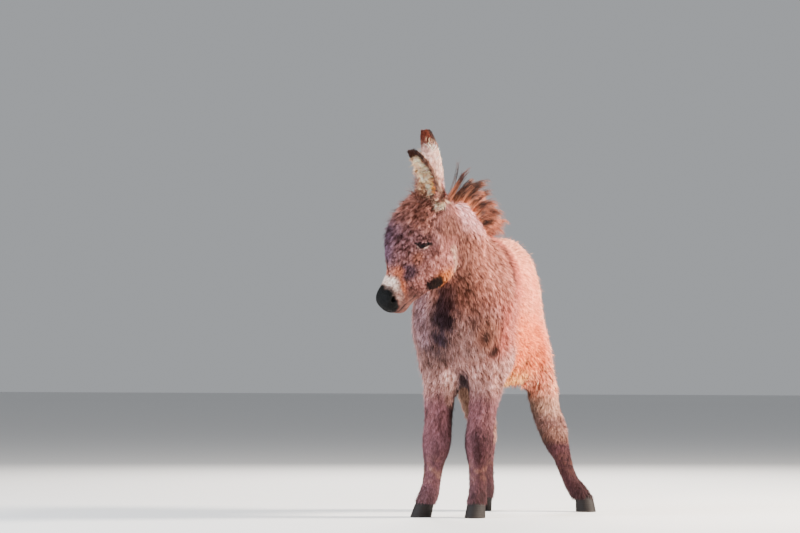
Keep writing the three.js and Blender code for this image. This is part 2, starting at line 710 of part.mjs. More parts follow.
// An ear is a rolled leaf. It rises from its root along axis, turns its hollow towards open, and its tip
// leans by tipLean. Its roll is nearly closed at the root and opens upwards.
const EARS = {
  left: {
    root: onHead(14, 14, 36),
    axis: V(-0.09, -0.6, 0.78),
    open: V(-0.3, -0.95, 0),
    tipLean: V(-18, -6, -6),
  },
  right: {
    root: onHead(-8, -4, -22),
    axis: V(-0.12, 0.06, 0.985),
    open: V(-0.78, 0.62, 0),
    tipLean: V(-12, 0, 0),
  },
};
const EAR_STEPS = 9;
const EAR_SIDES = 6;
const EAR_PROFILE = [0.62, 0.78, 0.92, 1, 1, 0.98, 0.94, 0.88, 0.76, 0.54]; // shares of the width
const earOpening = (t) => mix(138, 74, Math.min(1, t * 1.6)) * RAD;
const EAR_ROOT_HEIGHT = 46; // of the stub that stays on the head
function earSolid({ root, axis, open, tipLean }) {
  const up = axis.clone().normalize();
  const ahead = open.clone().addScaledVector(up, -open.dot(up)).normalize();
  const side = up.clone().cross(ahead);
  const loops = [];
  for (let i = 0; i <= EAR_STEPS; i++) {
    const t = i / EAR_STEPS;
    const half = earOpening(t);
    const radius = (EAR_PROFILE[i] * EAR_WIDTH) / 2;
    const thick = Math.min(EAR_THICKNESS, radius * 0.7);
    const middle = root.clone().addScaledVector(up, t * EAR_LENGTH).addScaledVector(tipLean, t * t);
    const at = (a, r) =>
      middle.clone().addScaledVector(ahead, -Math.cos(a) * r).addScaledVector(side, Math.sin(a) * r);
    const angles = Array.from({ length: EAR_SIDES + 1 }, (_, j) => mix(-half, half, j / EAR_SIDES));
    const outside = angles.map((a) => at(a, radius));
    const inside = angles.toReversed().map((a) => at(a, radius - thick));
    loops.push([...outside, ...inside]);
  }
  return closeSheets(loops);
}
for (const [hand, ear] of Object.entries(EARS)) {
  const up = ear.axis.clone().normalize();
  const cut = ear.root.clone().addScaledVector(up, EAR_ROOT_HEIGHT);
  const [blade, root] = part(earSolid(ear), up, cut);
  addNode("ear_" + hand, blade, "ear");
  headSolid = headSolid.add(root);
}

// The nose end is parted from the head, and the chin from the nose along the mouth.
const [noseEnd, headPart] = part(headSolid, face, onHead(HEAD_LENGTH - 82, 0, 0));
const [muzzle, chin] = part(noseEnd, inHead(-0.3, 0.954), onHead(HEAD_LENGTH - 30, -38, 0));
addNode("head", headPart, "face");
addNode("muzzle", muzzle, "muzzle");
addNode("chin", chin, "muzzle");

// ---------- mane ----------
// The crest is found by going up from the middle of the neck to its surface. Hair stands on it.
const CREST = new THREE.CatmullRomCurve3([
  V(29, -220, 878),
  V(31, -150, 824),
  V(24, -76, 766),
  V(10, 16, 720),
  V(5, 80, 700),
]);
const DORSAL = [V(0.5, 0.5, 0.72), V(0.02, 0.45, 0.89)]; // out of the crest, at the poll and at the withers
const HAIR = [V(0.42, 0.4, 0.81), V(0.46, 0.84, 0.28)]; // the way the mane stands, at poll and withers
const MANE_STEPS = 14;
function surfaceFrom(shape, from, way) {
  let [lo, hi] = [0, 320];
  const q = V(0, 0, 0);
  for (let i = 0; i < 20; i++) {
    const mid = (lo + hi) / 2;
    if (shape(q.copy(from).addScaledVector(way, mid)) > 0) hi = mid;
    else lo = mid;
  }
  return from.clone().addScaledVector(way, lo);
}
function maneSolid() {
  const loops = [];
  for (let i = 0; i <= MANE_STEPS; i++) {
    const t = i / MANE_STEPS;
    const back = CREST.getTangent(t);
    const up = DORSAL[0].clone().lerp(DORSAL[1], t).normalize();
    const hair = HAIR[0].clone().lerp(HAIR[1], t).normalize();
    const side = back.clone().cross(hair).normalize();
    const foot = surfaceFrom(bodyShape, CREST.getPoint(t), up).addScaledVector(up, -9);
    const taper = Math.min(1, 0.72 + t * 4, 0.16 + (1 - t) * 3.2);
    const lock = i % 2 ? 0.84 : 1;
    const tip = foot.clone().addScaledVector(hair, 9 + MANE_LENGTH * taper * lock);
    const middle = foot.clone().lerp(tip, 0.5);
    const wide = (MANE_THICKNESS / 2) * Math.min(1, 0.4 + taper);
    const off = (p, d) => p.clone().addScaledVector(side, d);
    const half = [off(foot, wide), off(middle, wide * 0.86), off(tip, 4)];
    loops.push([off(foot, -wide), ...half, off(tip, -4), off(middle, -wide * 0.86)]);
  }
  return closeSheets(loops);
}

// ---------- tail ----------
const TAIL = [
  [V(-23, 488, 752), 24, 20],
  [V(-23, 534, 744), 21, 19],
  [V(-23, 564, 712), 18, 17],
  [V(-24, 574, 656), 16, 16],
  [V(-24, 574, 596), 18, 18],
  [V(-25, 570, 530), 24, 23],
  [V(-25, 566, 476), 20, 19],
  [V(-25, 564, 446), 11, 11],
];
const tailShape = limb(TAIL);
const tailCurve = new THREE.CatmullRomCurve3(TAIL.map(([c]) => c), false, "centripetal");
const tailNet = castSkin(
  tailShape,
  Array.from({ length: 11 }, (_, i) => {
    const t = i / 10;
    const along = tailCurve.getTangent(t);
    return { c: tailCurve.getPoint(t), e1: X, e2: along.clone().cross(X).normalize() };
  }),
  8,
  { fans: [1, 2], reach: 60 },
);
const dock = { point: V(-23, 545, 740), normal: V(0, 0.86, -0.51).normalize() };
const [hanging, tailRoot] = part(tailNet, dock.normal, dock.point);
const [tail, tuft] = part(hanging, Z, V(0, 0, 590));
addNode("tail", tail, "coat");
addNode("tail_tuft", tuft, "mane");
addNode("rump", rump.add(tailRoot), "flank");

// The mane is cut free of the body, with a gap, by taking copies of the body away at small shifts.
const clearance = 1.5 * SEAM;
const shifts = [
  [0, 0, 0],
  [0, 0, clearance],
  [0, clearance, 0],
  [0, -clearance, 0],
  [clearance, 0, 0],
  [-clearance, 0, 0],
];
const underMane = [neckSolid, headPart, forequarters, barrel];
const standing = underMane.reduce(
  (mane, body) => shifts.reduce((left, shift) => left.subtract(body.translate(shift)), mane),
  maneSolid(),
);
addNode("mane", standing, "mane");

// Everything is centred over the origin, on the floor.
const box = new THREE.Box3().setFromObject(foal);
foal.position.set(-(box.min.x + box.max.x) / 2, -(box.min.y + box.max.y) / 2, -box.min.z);

export default foal;
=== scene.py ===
"""The looks of a young donkey foal: one skin over its flesh, and a coat of fine mesh tufts on that skin.

Anatomy is worked out in millimetres in the body's own frame, whose origin lies on the floor between the
hooves (+Z up, the foal faces -Y, +X is its own left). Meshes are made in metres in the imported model's frame.
"""
import math

import bmesh
import bpy
import numpy as np
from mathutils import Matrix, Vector
from mathutils.bvhtree import BVHTree
from mathutils.kdtree import KDTree


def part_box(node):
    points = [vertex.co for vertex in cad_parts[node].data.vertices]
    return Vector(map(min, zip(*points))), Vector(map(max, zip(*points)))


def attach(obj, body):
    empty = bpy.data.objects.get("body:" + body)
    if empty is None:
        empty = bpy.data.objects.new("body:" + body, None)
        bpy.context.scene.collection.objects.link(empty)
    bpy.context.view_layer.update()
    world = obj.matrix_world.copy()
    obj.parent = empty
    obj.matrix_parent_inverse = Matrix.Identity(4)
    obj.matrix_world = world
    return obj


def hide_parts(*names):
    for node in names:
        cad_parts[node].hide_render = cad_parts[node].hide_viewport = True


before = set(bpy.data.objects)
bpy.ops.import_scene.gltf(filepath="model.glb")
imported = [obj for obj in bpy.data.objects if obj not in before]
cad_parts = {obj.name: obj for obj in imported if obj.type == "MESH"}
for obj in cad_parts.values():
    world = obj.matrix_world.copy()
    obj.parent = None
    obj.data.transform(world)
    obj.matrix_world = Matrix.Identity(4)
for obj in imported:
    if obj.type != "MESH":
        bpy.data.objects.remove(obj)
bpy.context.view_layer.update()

# ---------- the body's own frame, in millimetres ----------
POLL = np.array([10.0, -256.0, 918.0])
HEAD_TURN = math.radians(69)
HEAD_PITCH = math.radians(64.5)
HEAD_ROLL = math.radians(-37)
HEAD_LENGTH = 352
EYE_RADIUS = 15.5
EYE_PLACE = (138, 22, 60)  # down the face, out of the forehead, to the side
NOSTRIL_PLACE = (HEAD_LENGTH - 40, 7, 35)
UP = np.array([0.0, 0.0, 1.0])


def unit(v):
    v = np.asarray(v, float)
    return v / np.maximum(np.linalg.norm(v, axis=-1, keepdims=True), 1e-9)


def turned(v, axis, angle):
    return (
        v * math.cos(angle)
        + np.cross(axis, v) * math.sin(angle)
        + axis * np.dot(axis, v) * (1 - math.cos(angle))
    )


def ramp(x, low, high):
    """0 below low, 1 above high, and smooth between."""
    t = np.clip((np.asarray(x, float) - low) / (high - low), 0, 1)
    return t * t * (3 - 2 * t)


def fall(x, low, high):
    """1 below low, 0 above high, and smooth between."""
    return ramp(-x, -high, -low)


def bell(x, width):
    """1 at 0, falling to 0.37 at the width on either side."""
    return np.exp(-((x / width) ** 2))


def mix(a, b, t):
    """From a to b by the share t, where a and b are numbers, points or colours."""
    a, b, t = (np.asarray(v, float) for v in (a, b, t))
    if t.ndim and (a.shape[-1:] == (3,) or b.shape[-1:] == (3,)):
        t = t[..., None]
    return a + (b - a) * t


def layered(base, *layers):
    """The base with each (value, share) mixed over it in turn."""
    for value, share in layers:
        base = mix(base, value, share)
    return base


def off_normal(way, normal):
    """The part of a way that runs along the skin."""
    return way - normal * np.einsum("ij,ij->i", way, normal)[:, None]


FACE = np.array(
    [
        -math.sin(HEAD_TURN) * math.cos(HEAD_PITCH),
        -math.cos(HEAD_TURN) * math.cos(HEAD_PITCH),
        -math.sin(HEAD_PITCH),
    ]
)
BROW = turned(unit(UP + FACE * math.sin(HEAD_PITCH)), FACE, HEAD_ROLL)
CHEEK = np.cross(BROW, FACE)  # towards the foal's left
HEAD_AXES = np.stack([FACE, BROW, CHEEK])


def on_head(s, n, side):
    """A place on the head: s down the face from the poll, n out of the forehead, side to the foal's left."""
    return POLL + s * FACE + n * BROW + side * CHEEK


def head_coordinates(p):
    return (p - POLL) @ HEAD_AXES.T


def find_shift():
    """From the body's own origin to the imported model's, in metres: the eyes give it."""
    middles = [(np.array(a) + np.array(b)) / 2 for a, b in (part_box("eye_left"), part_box("eye_right"))]
    own = (on_head(*EYE_PLACE) + on_head(EYE_PLACE[0], EYE_PLACE[1], -EYE_PLACE[2])) / 2
    shift = (middles[0] + middles[1]) / 2 - own / 1000
    shift[2] = 0
    return shift


SHIFT = find_shift()


def to_model(p):
    return p / 1000 + SHIFT


def to_own(p):
    return (p - SHIFT) * 1000


# ---------- colours ----------
def srgb(r, g, b):
    """An sRGB colour of 0-255 as linear light."""
    c = np.array([r, g, b]) / 255
    return np.where(c <= 0.04045, c / 12.92, ((c + 0.055) / 1.055) ** 2.4)


NECK_BROWN = srgb(188, 123, 105)
FRINGE_RED = srgb(68, 26, 18)
CHEST_BROWN = srgb(168, 120, 112)
CHEST_DARK = srgb(104, 74, 72)
SHOULDER_BROWN = srgb(176, 89, 77)
FLANK_BEIGE = srgb(239, 139, 109)
BACK_BROWN = srgb(221, 142, 115)
BELLY_GOLD = srgb(239, 150, 91)
FLANK_SHADE = srgb(196, 146, 124)
FLANK_LOW = srgb(235, 116, 71)
RUMP_BEIGE = srgb(233, 155, 122)
LEG_BROWN = srgb(133, 86, 90)
LEG_DARK = srgb(105, 69, 76)
GASKIN_SHADE = srgb(87, 60, 46)
GASKIN_BEIGE = srgb(196, 148, 128)
PASTERN_DARK = srgb(96, 66, 70)
THROAT_SHADOW = srgb(39, 25, 34)
LEG_TAN = srgb(186, 136, 108)
FACE_BROWN = srgb(147, 97, 93)
FOREHEAD_DARK = srgb(94, 66, 79)
CHEEK_BROWN = srgb(176, 113, 105)
JAW_GOLD = srgb(192, 106, 58)
JAW_SPOT = srgb(16, 8, 7)
RIDGE_HIGHLIGHT_CREAM = srgb(236, 202, 172)
CROWN_RED = srgb(153, 94, 76)
RING_ORANGE = srgb(202, 110, 70)
RING_WHITE = srgb(255, 222, 206)
NOSE_BLACK = srgb(6, 5, 5)
NOSE_GREY = srgb(76, 37, 34)
LIP_PINK = srgb(132, 88, 80)
EYE_LINE = srgb(14, 8, 8)
LID_PALE = srgb(226, 184, 172)
NECK_SHADE = srgb(120, 74, 62)
PAINTED_SKYLIGHT_MAUVE = srgb(118, 89, 98)
FRINGE_PALE = srgb(231, 173, 161)
CHIN_BROWN = srgb(98, 61, 56)
EAR_INSIDE = srgb(226, 176, 140)
EAR_FOOT = srgb(126, 82, 68)
EAR_BACK = srgb(206, 158, 140)
EAR_BACK_PAINTED_LIGHT = srgb(255, 208, 192)
EAR_DARK = srgb(52, 30, 24)
EAR_RUST = srgb(110, 48, 32)
EAR_CREAM = srgb(255, 216, 180)
EAR_GLOW = srgb(246, 132, 40)
MANE_ROOT = srgb(72, 50, 50)
MANE_FOOT = srgb(242, 154, 115)
MANE_TIP = srgb(206, 130, 102)
CREST_PINK = srgb(246, 183, 191)
EYE_WHITE = srgb(46, 25, 28)
EYE_EDGE = srgb(16, 10, 9)
EYE_IRIS = srgb(34, 15, 15)
EYE_PUPIL = srgb(6, 4, 5)
HOOF_DARK = srgb(23, 18, 17)
HOOF_PALE = srgb(43, 34, 29)


# ---------- meshes as arrays ----------
MAP = "OFBake"
COLOUR_LAYER = "coat"


def make_mesh(name, points, loops, totals):
    """A Blender mesh from points in the body's own frame, and its faces as corners and their counts."""
    me = bpy.data.meshes.new(name)
    me.vertices.add(len(points))
    me.vertices.foreach_set("co", to_model(points).astype(np.float32).ravel())
    me.loops.add(len(loops))
    me.loops.foreach_set("vertex_index", np.asarray(loops, np.int32))
    me.polygons.add(len(totals))
    starts = np.concatenate([[0], np.cumsum(totals)[:-1]])
    me.polygons.foreach_set("loop_start", starts.astype(np.int32))
    me.polygons.foreach_set("use_smooth", np.ones(len(totals), bool))
    me.update(calc_edges=True)
    return me


def add_object(name, me):
    ob = bpy.data.objects.new(name, me)
    bpy.context.scene.collection.objects.link(ob)
    return ob


def read(items, key, width, kind=np.float32):
    """One property of all the items of a mesh, in rows of the given width."""
    flat = np.empty(len(items) * width, kind)
    items.foreach_get(key, flat)
    return flat.reshape(-1, width)


def points_of(me):
    return to_own(read(me.vertices, "co", 3).astype(float))


def edges_of(me):
    return read(me.edges, "vertices", 2, np.int32)


def set_points(me, points):
    me.vertices.foreach_set("co", to_model(points).astype(np.float32).ravel())
    me.update()


def normals_of(me):
    return read(me.vertex_normals, "vector", 3).astype(float)


def set_colour(me, colours):
    layer = me.color_attributes.new(COLOUR_LAYER, "FLOAT_COLOR", "POINT")
    rgba = np.ones((len(me.vertices), 4), np.float32)
    rgba[:, :3] = np.clip(colours, 0, 1)
    layer.data.foreach_set("color", rgba.ravel())


def ring_quads(rows, columns):
    """The corners of the faces between rings of points, where each ring is closed."""
    i, j = np.meshgrid(np.arange(rows - 1), np.arange(columns), indexing="ij")
    k = (j + 1) % columns
    corners = [i * columns + j, i * columns + k, (i + 1) * columns + k, (i + 1) * columns + j]
    return np.stack(corners, -1).ravel()


def edited(me, edit):
    """Runs edit on the mesh's faces, edges and vertices."""
    bm = bmesh.new()
    bm.from_mesh(me)
    edit(bm)
    bm.to_mesh(me)
    bm.free()


class Web:
    """The neighbours of each vertex of a mesh, for averages over them."""

    def __init__(self, edges, count):
        ends = np.concatenate([edges, edges[:, ::-1]])
        ends = ends[np.argsort(ends[:, 0], kind="stable")]
        self.start = np.searchsorted(ends[:, 0], np.arange(count))
        self.other = ends[:, 1]
        self.degree = np.diff(np.append(self.start, len(ends)))[:, None]

    def mean(self, values):
        return np.add.reduceat(values[self.other], self.start) / self.degree

    def smooth(self, values, rounds, keep_size=True):
        """rounds is how many passes each vertex gets, one number or one for each."""
        rounds = np.broadcast_to(np.asarray(rounds, float), len(values))[:, None]
        for i in range(int(math.ceil(rounds.max()))):
            share = np.clip(rounds - i, 0, 1)
            values = values + 0.6 * share * (self.mean(values) - values)
            if keep_size:
                values = values - 0.62 * share * (self.mean(values) - values)
        return values


# ---------- the skin ----------
VOXEL = 0.0044
HAIR_NODES = ("mane", "tail_tuft")
FLESH = sorted(
    n
    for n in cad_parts
    if n not in HAIR_NODES and "hoof" not in n and not n.startswith(("eye_", "ear_"))
)
SWELL = 0.0005  # closes the cuts between the nodes


def joined_flesh():
    """The flesh nodes as one mesh, each a little swollen so that neighbours overlap."""
    bm = bmesh.new()
    for name in FLESH:
        one = bmesh.new()
        one.from_mesh(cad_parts[name].data)
        bmesh.ops.remove_doubles(one, verts=one.verts, dist=1e-6)
        one.normal_update()
        ways = [v.normal.copy() for v in one.verts]
        for v, way in zip(one.verts, ways):
            v.co += way * SWELL
        me = bpy.data.meshes.new("part")
        one.to_mesh(me)
        one.free()
        bm.from_mesh(me)
        bpy.data.meshes.remove(me)
    me = bpy.data.meshes.new("flesh")
    bm.to_mesh(me)
    bm.free()
    return me


def with_modifier(me, kind, **settings):
    """The mesh after one modifier."""
    ob = add_object("scratch", me)
    modifier = ob.modifiers.new("m", kind)
    for key, value in settings.items():
        setattr(modifier, key, value)
    graph = bpy.context.evaluated_depsgraph_get()
    made = bpy.data.meshes.new_from_object(ob.evaluated_get(graph), depsgraph=graph)
    bpy.data.objects.remove(ob)
    return made


def largest_piece(points, quads, edges):
    """The mesh without any sealed hollow inside it. All its faces are quads."""
    label = np.arange(len(points))
    web = Web(edges, len(points))
    while True:
        least = np.minimum(label, np.minimum.reduceat(label[web.other], web.start))
        least = least[least]
        if (least == label).all():
            break
        label = least
    names, counts = np.unique(label, return_counts=True)
    keep = label == names[counts.argmax()]
    place = np.cumsum(keep) - 1
    quads = quads[keep[quads[:, 0]]]
    return points[keep], place[quads].ravel(), np.full(len(quads), 4)


def head_share(p):
    """1 on the head and muzzle, 0 on the neck and body."""
    throat = (p - on_head(78, -132, 0)) @ unit(0.72 * FACE + 0.694 * BROW)
    jaw = (p - on_head(236, -134, 0)) @ unit(-0.3 * FACE + 0.954 * BROW)
    return ramp(np.minimum(throat, jaw), -14, 14)


def smoothing_rounds(p):
    return layered(
        46.0,
        (10.0, head_share(p)),
        (16.0, fall(p[:, 2], 360, 420)),
        (12.0, ramp(p[:, 1], 500, 520)),
    )


def coat_depth(p):
    """How far the skin lies under the tips of the coat, in millimetres."""
    s = head_coordinates(p)[:, 0]
    y, z = p[:, 1], p[:, 2]
    on_face = layered(6.5, (3.6, ramp(s, 60, 190)), (1.3, ramp(s, 250, 290)))
    return layered(
        8.0,
        (5.0, fall(z, 350, 420)),
        (2.0, fall(z, 190, 270)),
        (on_face, head_share(p)),
        (1.5, ear_stub(p)),
        (6.0, ramp(y, 505, 530)),
    )


# ---------- ears ----------
EAR_LENGTH = 186
EAR_WIDTH = 66
EAR_THICKNESS = 7
EAR_PROFILE = [0.62, 0.78, 0.92, 1, 1, 0.98, 0.94, 0.88, 0.76, 0.54]
EAR_ROWS = 44
EAR_COLUMNS = 15  # across one face
EAR_REACH = 50  # how far from its roll's middle a point still is on an ear, in millimetres


class Ear:
    def __init__(self, root, axis, opening, lean, lit, dark, tip):
        self.tip = tip  # the height where the dark tip begins
        self.lit = lit  # the side of its margin that has a dark stripe and a warm glow
        self.dark = dark  # how dark its back and tip are; the far ear's paler back is painted light
        self.root = root
        self.up = unit(np.array(axis, float))
        opening = np.array(opening, float)
        self.ahead = unit(opening - self.up * np.dot(opening, self.up))
        self.side = np.cross(self.up, self.ahead)
        self.lean = np.array(lean, float)

    def middle(self, t):
        t = np.asarray(t, float)[..., None]
        return self.root + self.up * t * EAR_LENGTH + self.lean * t * t

    def place(self, t, angle, radius):
        """A point at height t (0 root, 1 tip) and at an angle round the roll, 0 at the middle of its back."""
        out = self.side * np.sin(angle)[..., None] - self.ahead * np.cos(angle)[..., None]
        return self.middle(t) + out * radius[..., None]

    def radius(self, t):
        return np.interp(t, np.linspace(0, 1, len(EAR_PROFILE)), EAR_PROFILE) * EAR_WIDTH / 2

    def half(self, t):
        return np.radians(138 + (74 - 138) * np.minimum(1, np.asarray(t) * 1.6))

    def coordinates(self, p):
        """(height t, angle, distance from the roll's middle) of points."""
        t = (p - self.root) @ self.up / EAR_LENGTH
        off = p - self.middle(t)
        across = off @ self.side
        back = -(off @ self.ahead)
        return t, np.arctan2(across, back), np.hypot(across, back)

    def outward(self, p):
        """The ways out from the roll's middle to points."""
        t, _, _ = self.coordinates(p)
        return unit(p - self.middle(t))

    def hollow(self, p, normals, low, high):
        """1 on its inner side, which faces the middle of the roll."""
        return ramp(-np.einsum("ij,ij->i", self.outward(p), normals), low, high)


EARS = [
    Ear(on_head(14, 14, 36), (-0.09, -0.6, 0.78), (-0.3, -0.95, 0), (-18, -6, -6), 1, 0.85, 0.80),
    Ear(on_head(-8, -4, -22), (-0.12, 0.06, 0.985), (-0.78, 0.62, 0), (-12, 0, 0), -1, 0.1, 0.66),
]


def ear_stub(p):
    """1 near the foot of either ear."""
    near = np.zeros(len(p))
    for ear in EARS:
        t, _, distance = ear.coordinates(p)
        near = np.maximum(near, fall(distance, 36, 46) * ramp(t, 0.04, 0.14) * fall(t, 0.5, 0.6))
    return near


def ear_share(p):
    """1 on the ears above their feet."""
    share = np.zeros(len(p))
    for ear in EARS:
        t, _, distance = ear.coordinates(p)
        share = np.maximum(share, ramp(t, 0.15, 0.23) * (distance < EAR_REACH))
    return share


def ear_points(ear):
    """Rings up the ear. Each runs across its back and returns across its hollow, with a rounded rim."""
    rings = []
    for t in np.linspace(0, 0.985, EAR_ROWS):
        half = float(ear.half(t))
        radius = float(ear.radius(t))
        wall = min(EAR_THICKNESS, radius * 0.7)
        thick = wall - 2.2
        middle = radius - wall / 2
        share = np.linspace(-1, 1, EAR_COLUMNS)
        swell = thick / 2 * np.sqrt(np.clip(1 - np.abs(share) ** 5, 0.04, 1))
        ripple = 0.7 * np.sin(t * 31 + share * 4)
        turn = share * (half - 0.03)
        outer = ear.place(np.full(EAR_COLUMNS, t), turn, middle + swell + ripple * 0.4)
        inner = ear.place(np.full(EAR_COLUMNS, t), turn, middle - swell + ripple * 0.4)
        rings.append(np.concatenate([outer, inner[::-1]]))
    return np.array(rings)


def cap_faces(start, columns, flip):
    """Quads across one ring of an ear, from its outer side to its inner."""
    faces = []
    for c in range(columns // 2 - 1):
        face = [start + c, start + c + 1, start + columns - 2 - c, start + columns - 1 - c]
        faces += face[::-1] if flip else face
    return np.array(faces)


def ear_mesh():
    points, loops = [], []
    for ear in EARS:
        rings = ear_points(ear)
        rows, columns = rings.shape[:2]
        base = sum(len(p) for p in points)
        points.append(rings.reshape(-1, 3))
        loops.append(base + ring_quads(rows, columns))
        loops.append(cap_faces(base, columns, True))
        loops.append(cap_faces(base + (rows - 1) * columns, columns, False))
    corners = np.concatenate(loops)
    me = make_mesh("ears", np.concatenate(points), corners, np.full(len(corners) // 4, 4))
    edited(me, lambda bm: bmesh.ops.recalc_face_normals(bm, faces=bm.faces))
    return me


def joined_with_ears(me):
    ears = add_object("ears_scratch", ear_mesh())
    made = with_modifier(me, "BOOLEAN", operation="UNION", solver="MANIFOLD", object=ears)
    bpy.data.objects.remove(ears)
    return made


# ---------- eyes, nostrils and mouth ----------
class Eye:
    """One eye's frame: out of the head, along the slit to the outer corner, and up to the upper lid."""

    def __init__(self, hand, sign):
        self.hand = hand
        self.out = unit(0.14 * FACE + 0.34 * BROW + sign * 0.93 * CHEEK)
        slit = -0.402 * FACE - 0.839 * BROW + sign * 0.367 * CHEEK
        self.along = unit(slit - self.out * np.dot(slit, self.out))
        self.up = np.cross(self.out, self.along) * sign
        place = on_head(EYE_PLACE[0], EYE_PLACE[1], sign * EYE_PLACE[2])
        self.centre = place + self.along * EYE_ASIDE

    def spread(self, p):
        """Along the slit, up, and out of the head, in millimetres from the eyeball's centre."""
        off = p - self.centre
        return off @ self.along, off @ self.up, off @ self.out


EYE_ASIDE = 3.5
EYE_REACH = 56  # how far from an eye its lids and folds go, in millimetres
EYES = [Eye("left", 1), Eye("right", -1)]
SLIT_INNER = -15.5
SLIT_OUTER = 21.0
LID_UP = 3.2
LID_DOWN = 4.0


def lid_edges(u):
    """The heights of the upper and lower lid edges at u along the slit."""
    t = np.clip((u - SLIT_INNER) / (SLIT_OUTER - SLIT_INNER) * 2 - 1, -1, 1)
    arch = np.clip(1 - t * t, 0, 1)
    return LID_UP * arch**0.5 + 0.5 * t, -LID_DOWN * arch**0.8 + 0.5 * t


def slit_depth(u, v):
    """Above 0 in the slit between the lids, and how far outside it below 0."""
    top, bottom = lid_edges(u)
    within = np.minimum(top - v, v - bottom)
    beyond = np.maximum(SLIT_INNER - u, u - SLIT_OUTER)
    return np.where(beyond > 0, np.minimum(within, -beyond), within)


def corner_lines(u, v):
    """1 along the grooves that run on from the two corners of the eye."""
    inner = bell(v + 0.5 - 0.25 * (SLIT_INNER - u), 2.4) * fall(u, -13, -10) * ramp(u, -19, -17)
    outer = bell(v - 0.5 + 0.10 * (u - SLIT_OUTER), 3.0) * ramp(u, 12, 15) * fall(u, 28, 34)
    return np.maximum(inner, outer)


def lid_fold(u, v):
    """1 in the fold over the upper lid."""
    top, _ = lid_edges(u)
    return bell(v - top - 5.6, 1.5) * ramp(u, -18, -12) * fall(u, 16, 24)


def cheek_crease(u, v):
    """1 in the short crease behind the eye, which runs back and down."""
    t = np.clip((u - 34) / 20, 0, 1)
    line = -5 - 30 * t**1.3
    return bell(v - line, 4.4) * ramp(u, 28, 36) * fall(u, 50, 58)


def sculpt_eye(p, eye):
    """Lids round the eyeball: the skin rises over it and parts at the slit, with folds above and below."""
    u, v, w = eye.spread(p)
    off = np.hypot(u, v)
    near = (off < EYE_REACH) & (w > -16)
    gap = slit_depth(u, v)
    reach = EYE_RADIUS + 2.3 - 1.3 * bell(np.minimum(gap, 0), 2.2)
    dome = np.sqrt(np.maximum(reach**2 - off**2, 0))
    soft = 1.8
    lid = soft * np.logaddexp(w / soft, dome / soft)
    lid = lid + 1.6 * bell(v - 10.5, 3.4) * fall(off, 14, 30)
    lid = lid - 1.5 * lid_fold(u, v) - 1.6 * corner_lines(u, v) - 1.4 * cheek_crease(u, v)
    lid = lid - 0.9 * bell(v + LID_DOWN + 5.5, 1.3) * fall(np.abs(u), 8, 15)
    under = np.sqrt(np.maximum(EYE_RADIUS**2 - off**2, 0)) - 3.0
    new = np.where(gap > 0, under, lid)
    moved = np.where(near, new - w, 0)
    return p + eye.out * moved[:, None]


def nostril_depth(p):
    """How far the nostrils are pushed in, and how far their wings stand out, in millimetres."""
    s, n, side = head_coordinates(p).T
    push = np.zeros(len(p))
    lift = np.zeros(len(p))
    for sign in (1, -1):
        x = s - NOSTRIL_PLACE[0]
        y = n - NOSTRIL_PLACE[1] + 0.012 * x * x - 2
        here = (sign * side > 12) * 1.0
        hole = np.exp(-((x / 8.5) ** 2 + (y / 4.2) ** 2) ** 1.4)
        wing = bell(np.hypot(x / 11.5, y / 7.5) - 1, 0.28)
        push += here * 8.5 * hole
        lift += here * 1.5 * wing
    return push, lift


def mouth_groove(p):
    s, n, _ = head_coordinates(p).T
    off = (s - (HEAD_LENGTH - 30)) * -0.3 + (n + 38) * 0.954
    off = off + 2.5 * np.cos(s / 9)
    return 2.6 * bell(off, 2.4) * ramp(s, 262, 276)


def refine(me, share):
    """Halves the edges of the faces where share of a point is over a half."""
    wanted = share(points_of(me)) > 0.5
    chosen = wanted[edges_of(me)].all(axis=1)

    def halve(bm):
        bm.edges.ensure_lookup_table()
        picked = [bm.edges[i] for i in np.nonzero(chosen)[0]]
        bmesh.ops.subdivide_edges(bm, edges=picked, cuts=1, use_grid_fill=True)
        bmesh.ops.triangulate(bm, faces=[f for f in bm.faces if len(f.verts) > 4])

    edited(me, halve)


def near_eyes(radius):
    def share(p):
        return np.max([np.linalg.norm(p - eye.centre, axis=1) < radius for eye in EYES], axis=0) * 1.0

    return share


def near_nose(p):
    s = head_coordinates(p)[:, 0]
    return ramp(s, 270, 276) * head_share(p)


def sculpt_face(me):
    p = points_of(me)
    for eye in EYES:
        p = sculpt_eye(p, eye)
    set_points(me, p)
    normals = normals_of(me)
    push, lift = nostril_depth(p)
    p = p + normals * (lift - push - mouth_groove(p))[:, None]
    set_points(me, p)
    web = Web(edges_of(me), len(p))
    soft = near_nose(p) * 1.5
    p = web.smooth(p, soft, keep_size=False)
    set_points(me, p)


def unwrap(me):
    """An unwrap of the skin's own shape, in the map that the coat's patches use too."""
    ob = add_object("unwrap", me)
    me.uv_layers.new(name=MAP)
    bpy.context.view_layer.objects.active = ob
    ob.select_set(True)
    bpy.ops.object.mode_set(mode="EDIT")
    bpy.ops.mesh.select_all(action="SELECT")
    bpy.ops.uv.smart_project(angle_limit=math.radians(72), island_margin=0.0015)
    bpy.ops.object.mode_set(mode="OBJECT")
    bpy.data.objects.remove(ob)


def make_skin():
    me = with_modifier(joined_flesh(), "REMESH", mode="VOXEL", voxel_size=VOXEL)
    quads = read(me.loops, "vertex_index", 1, np.int32).reshape(-1, 4)
    p, loops, totals = largest_piece(points_of(me), quads, edges_of(me))
    me = make_mesh("skin", p, loops, totals)
    web = Web(edges_of(me), len(p))
    p = web.smooth(p, smoothing_rounds(p))
    set_points(me, p)
    p = p - normals_of(me) * coat_depth(p)[:, None]
    p = web.smooth(p, 4 * (1 - ear_stub(p)))
    set_points(me, p)
    me = joined_with_ears(me)
    for radius in (36, 30):
        refine(me, near_eyes(radius))
    refine(me, near_nose)
    sculpt_face(me)
    me.polygons.foreach_set("use_smooth", np.ones(len(me.polygons), bool))
    unwrap(me)
    return me
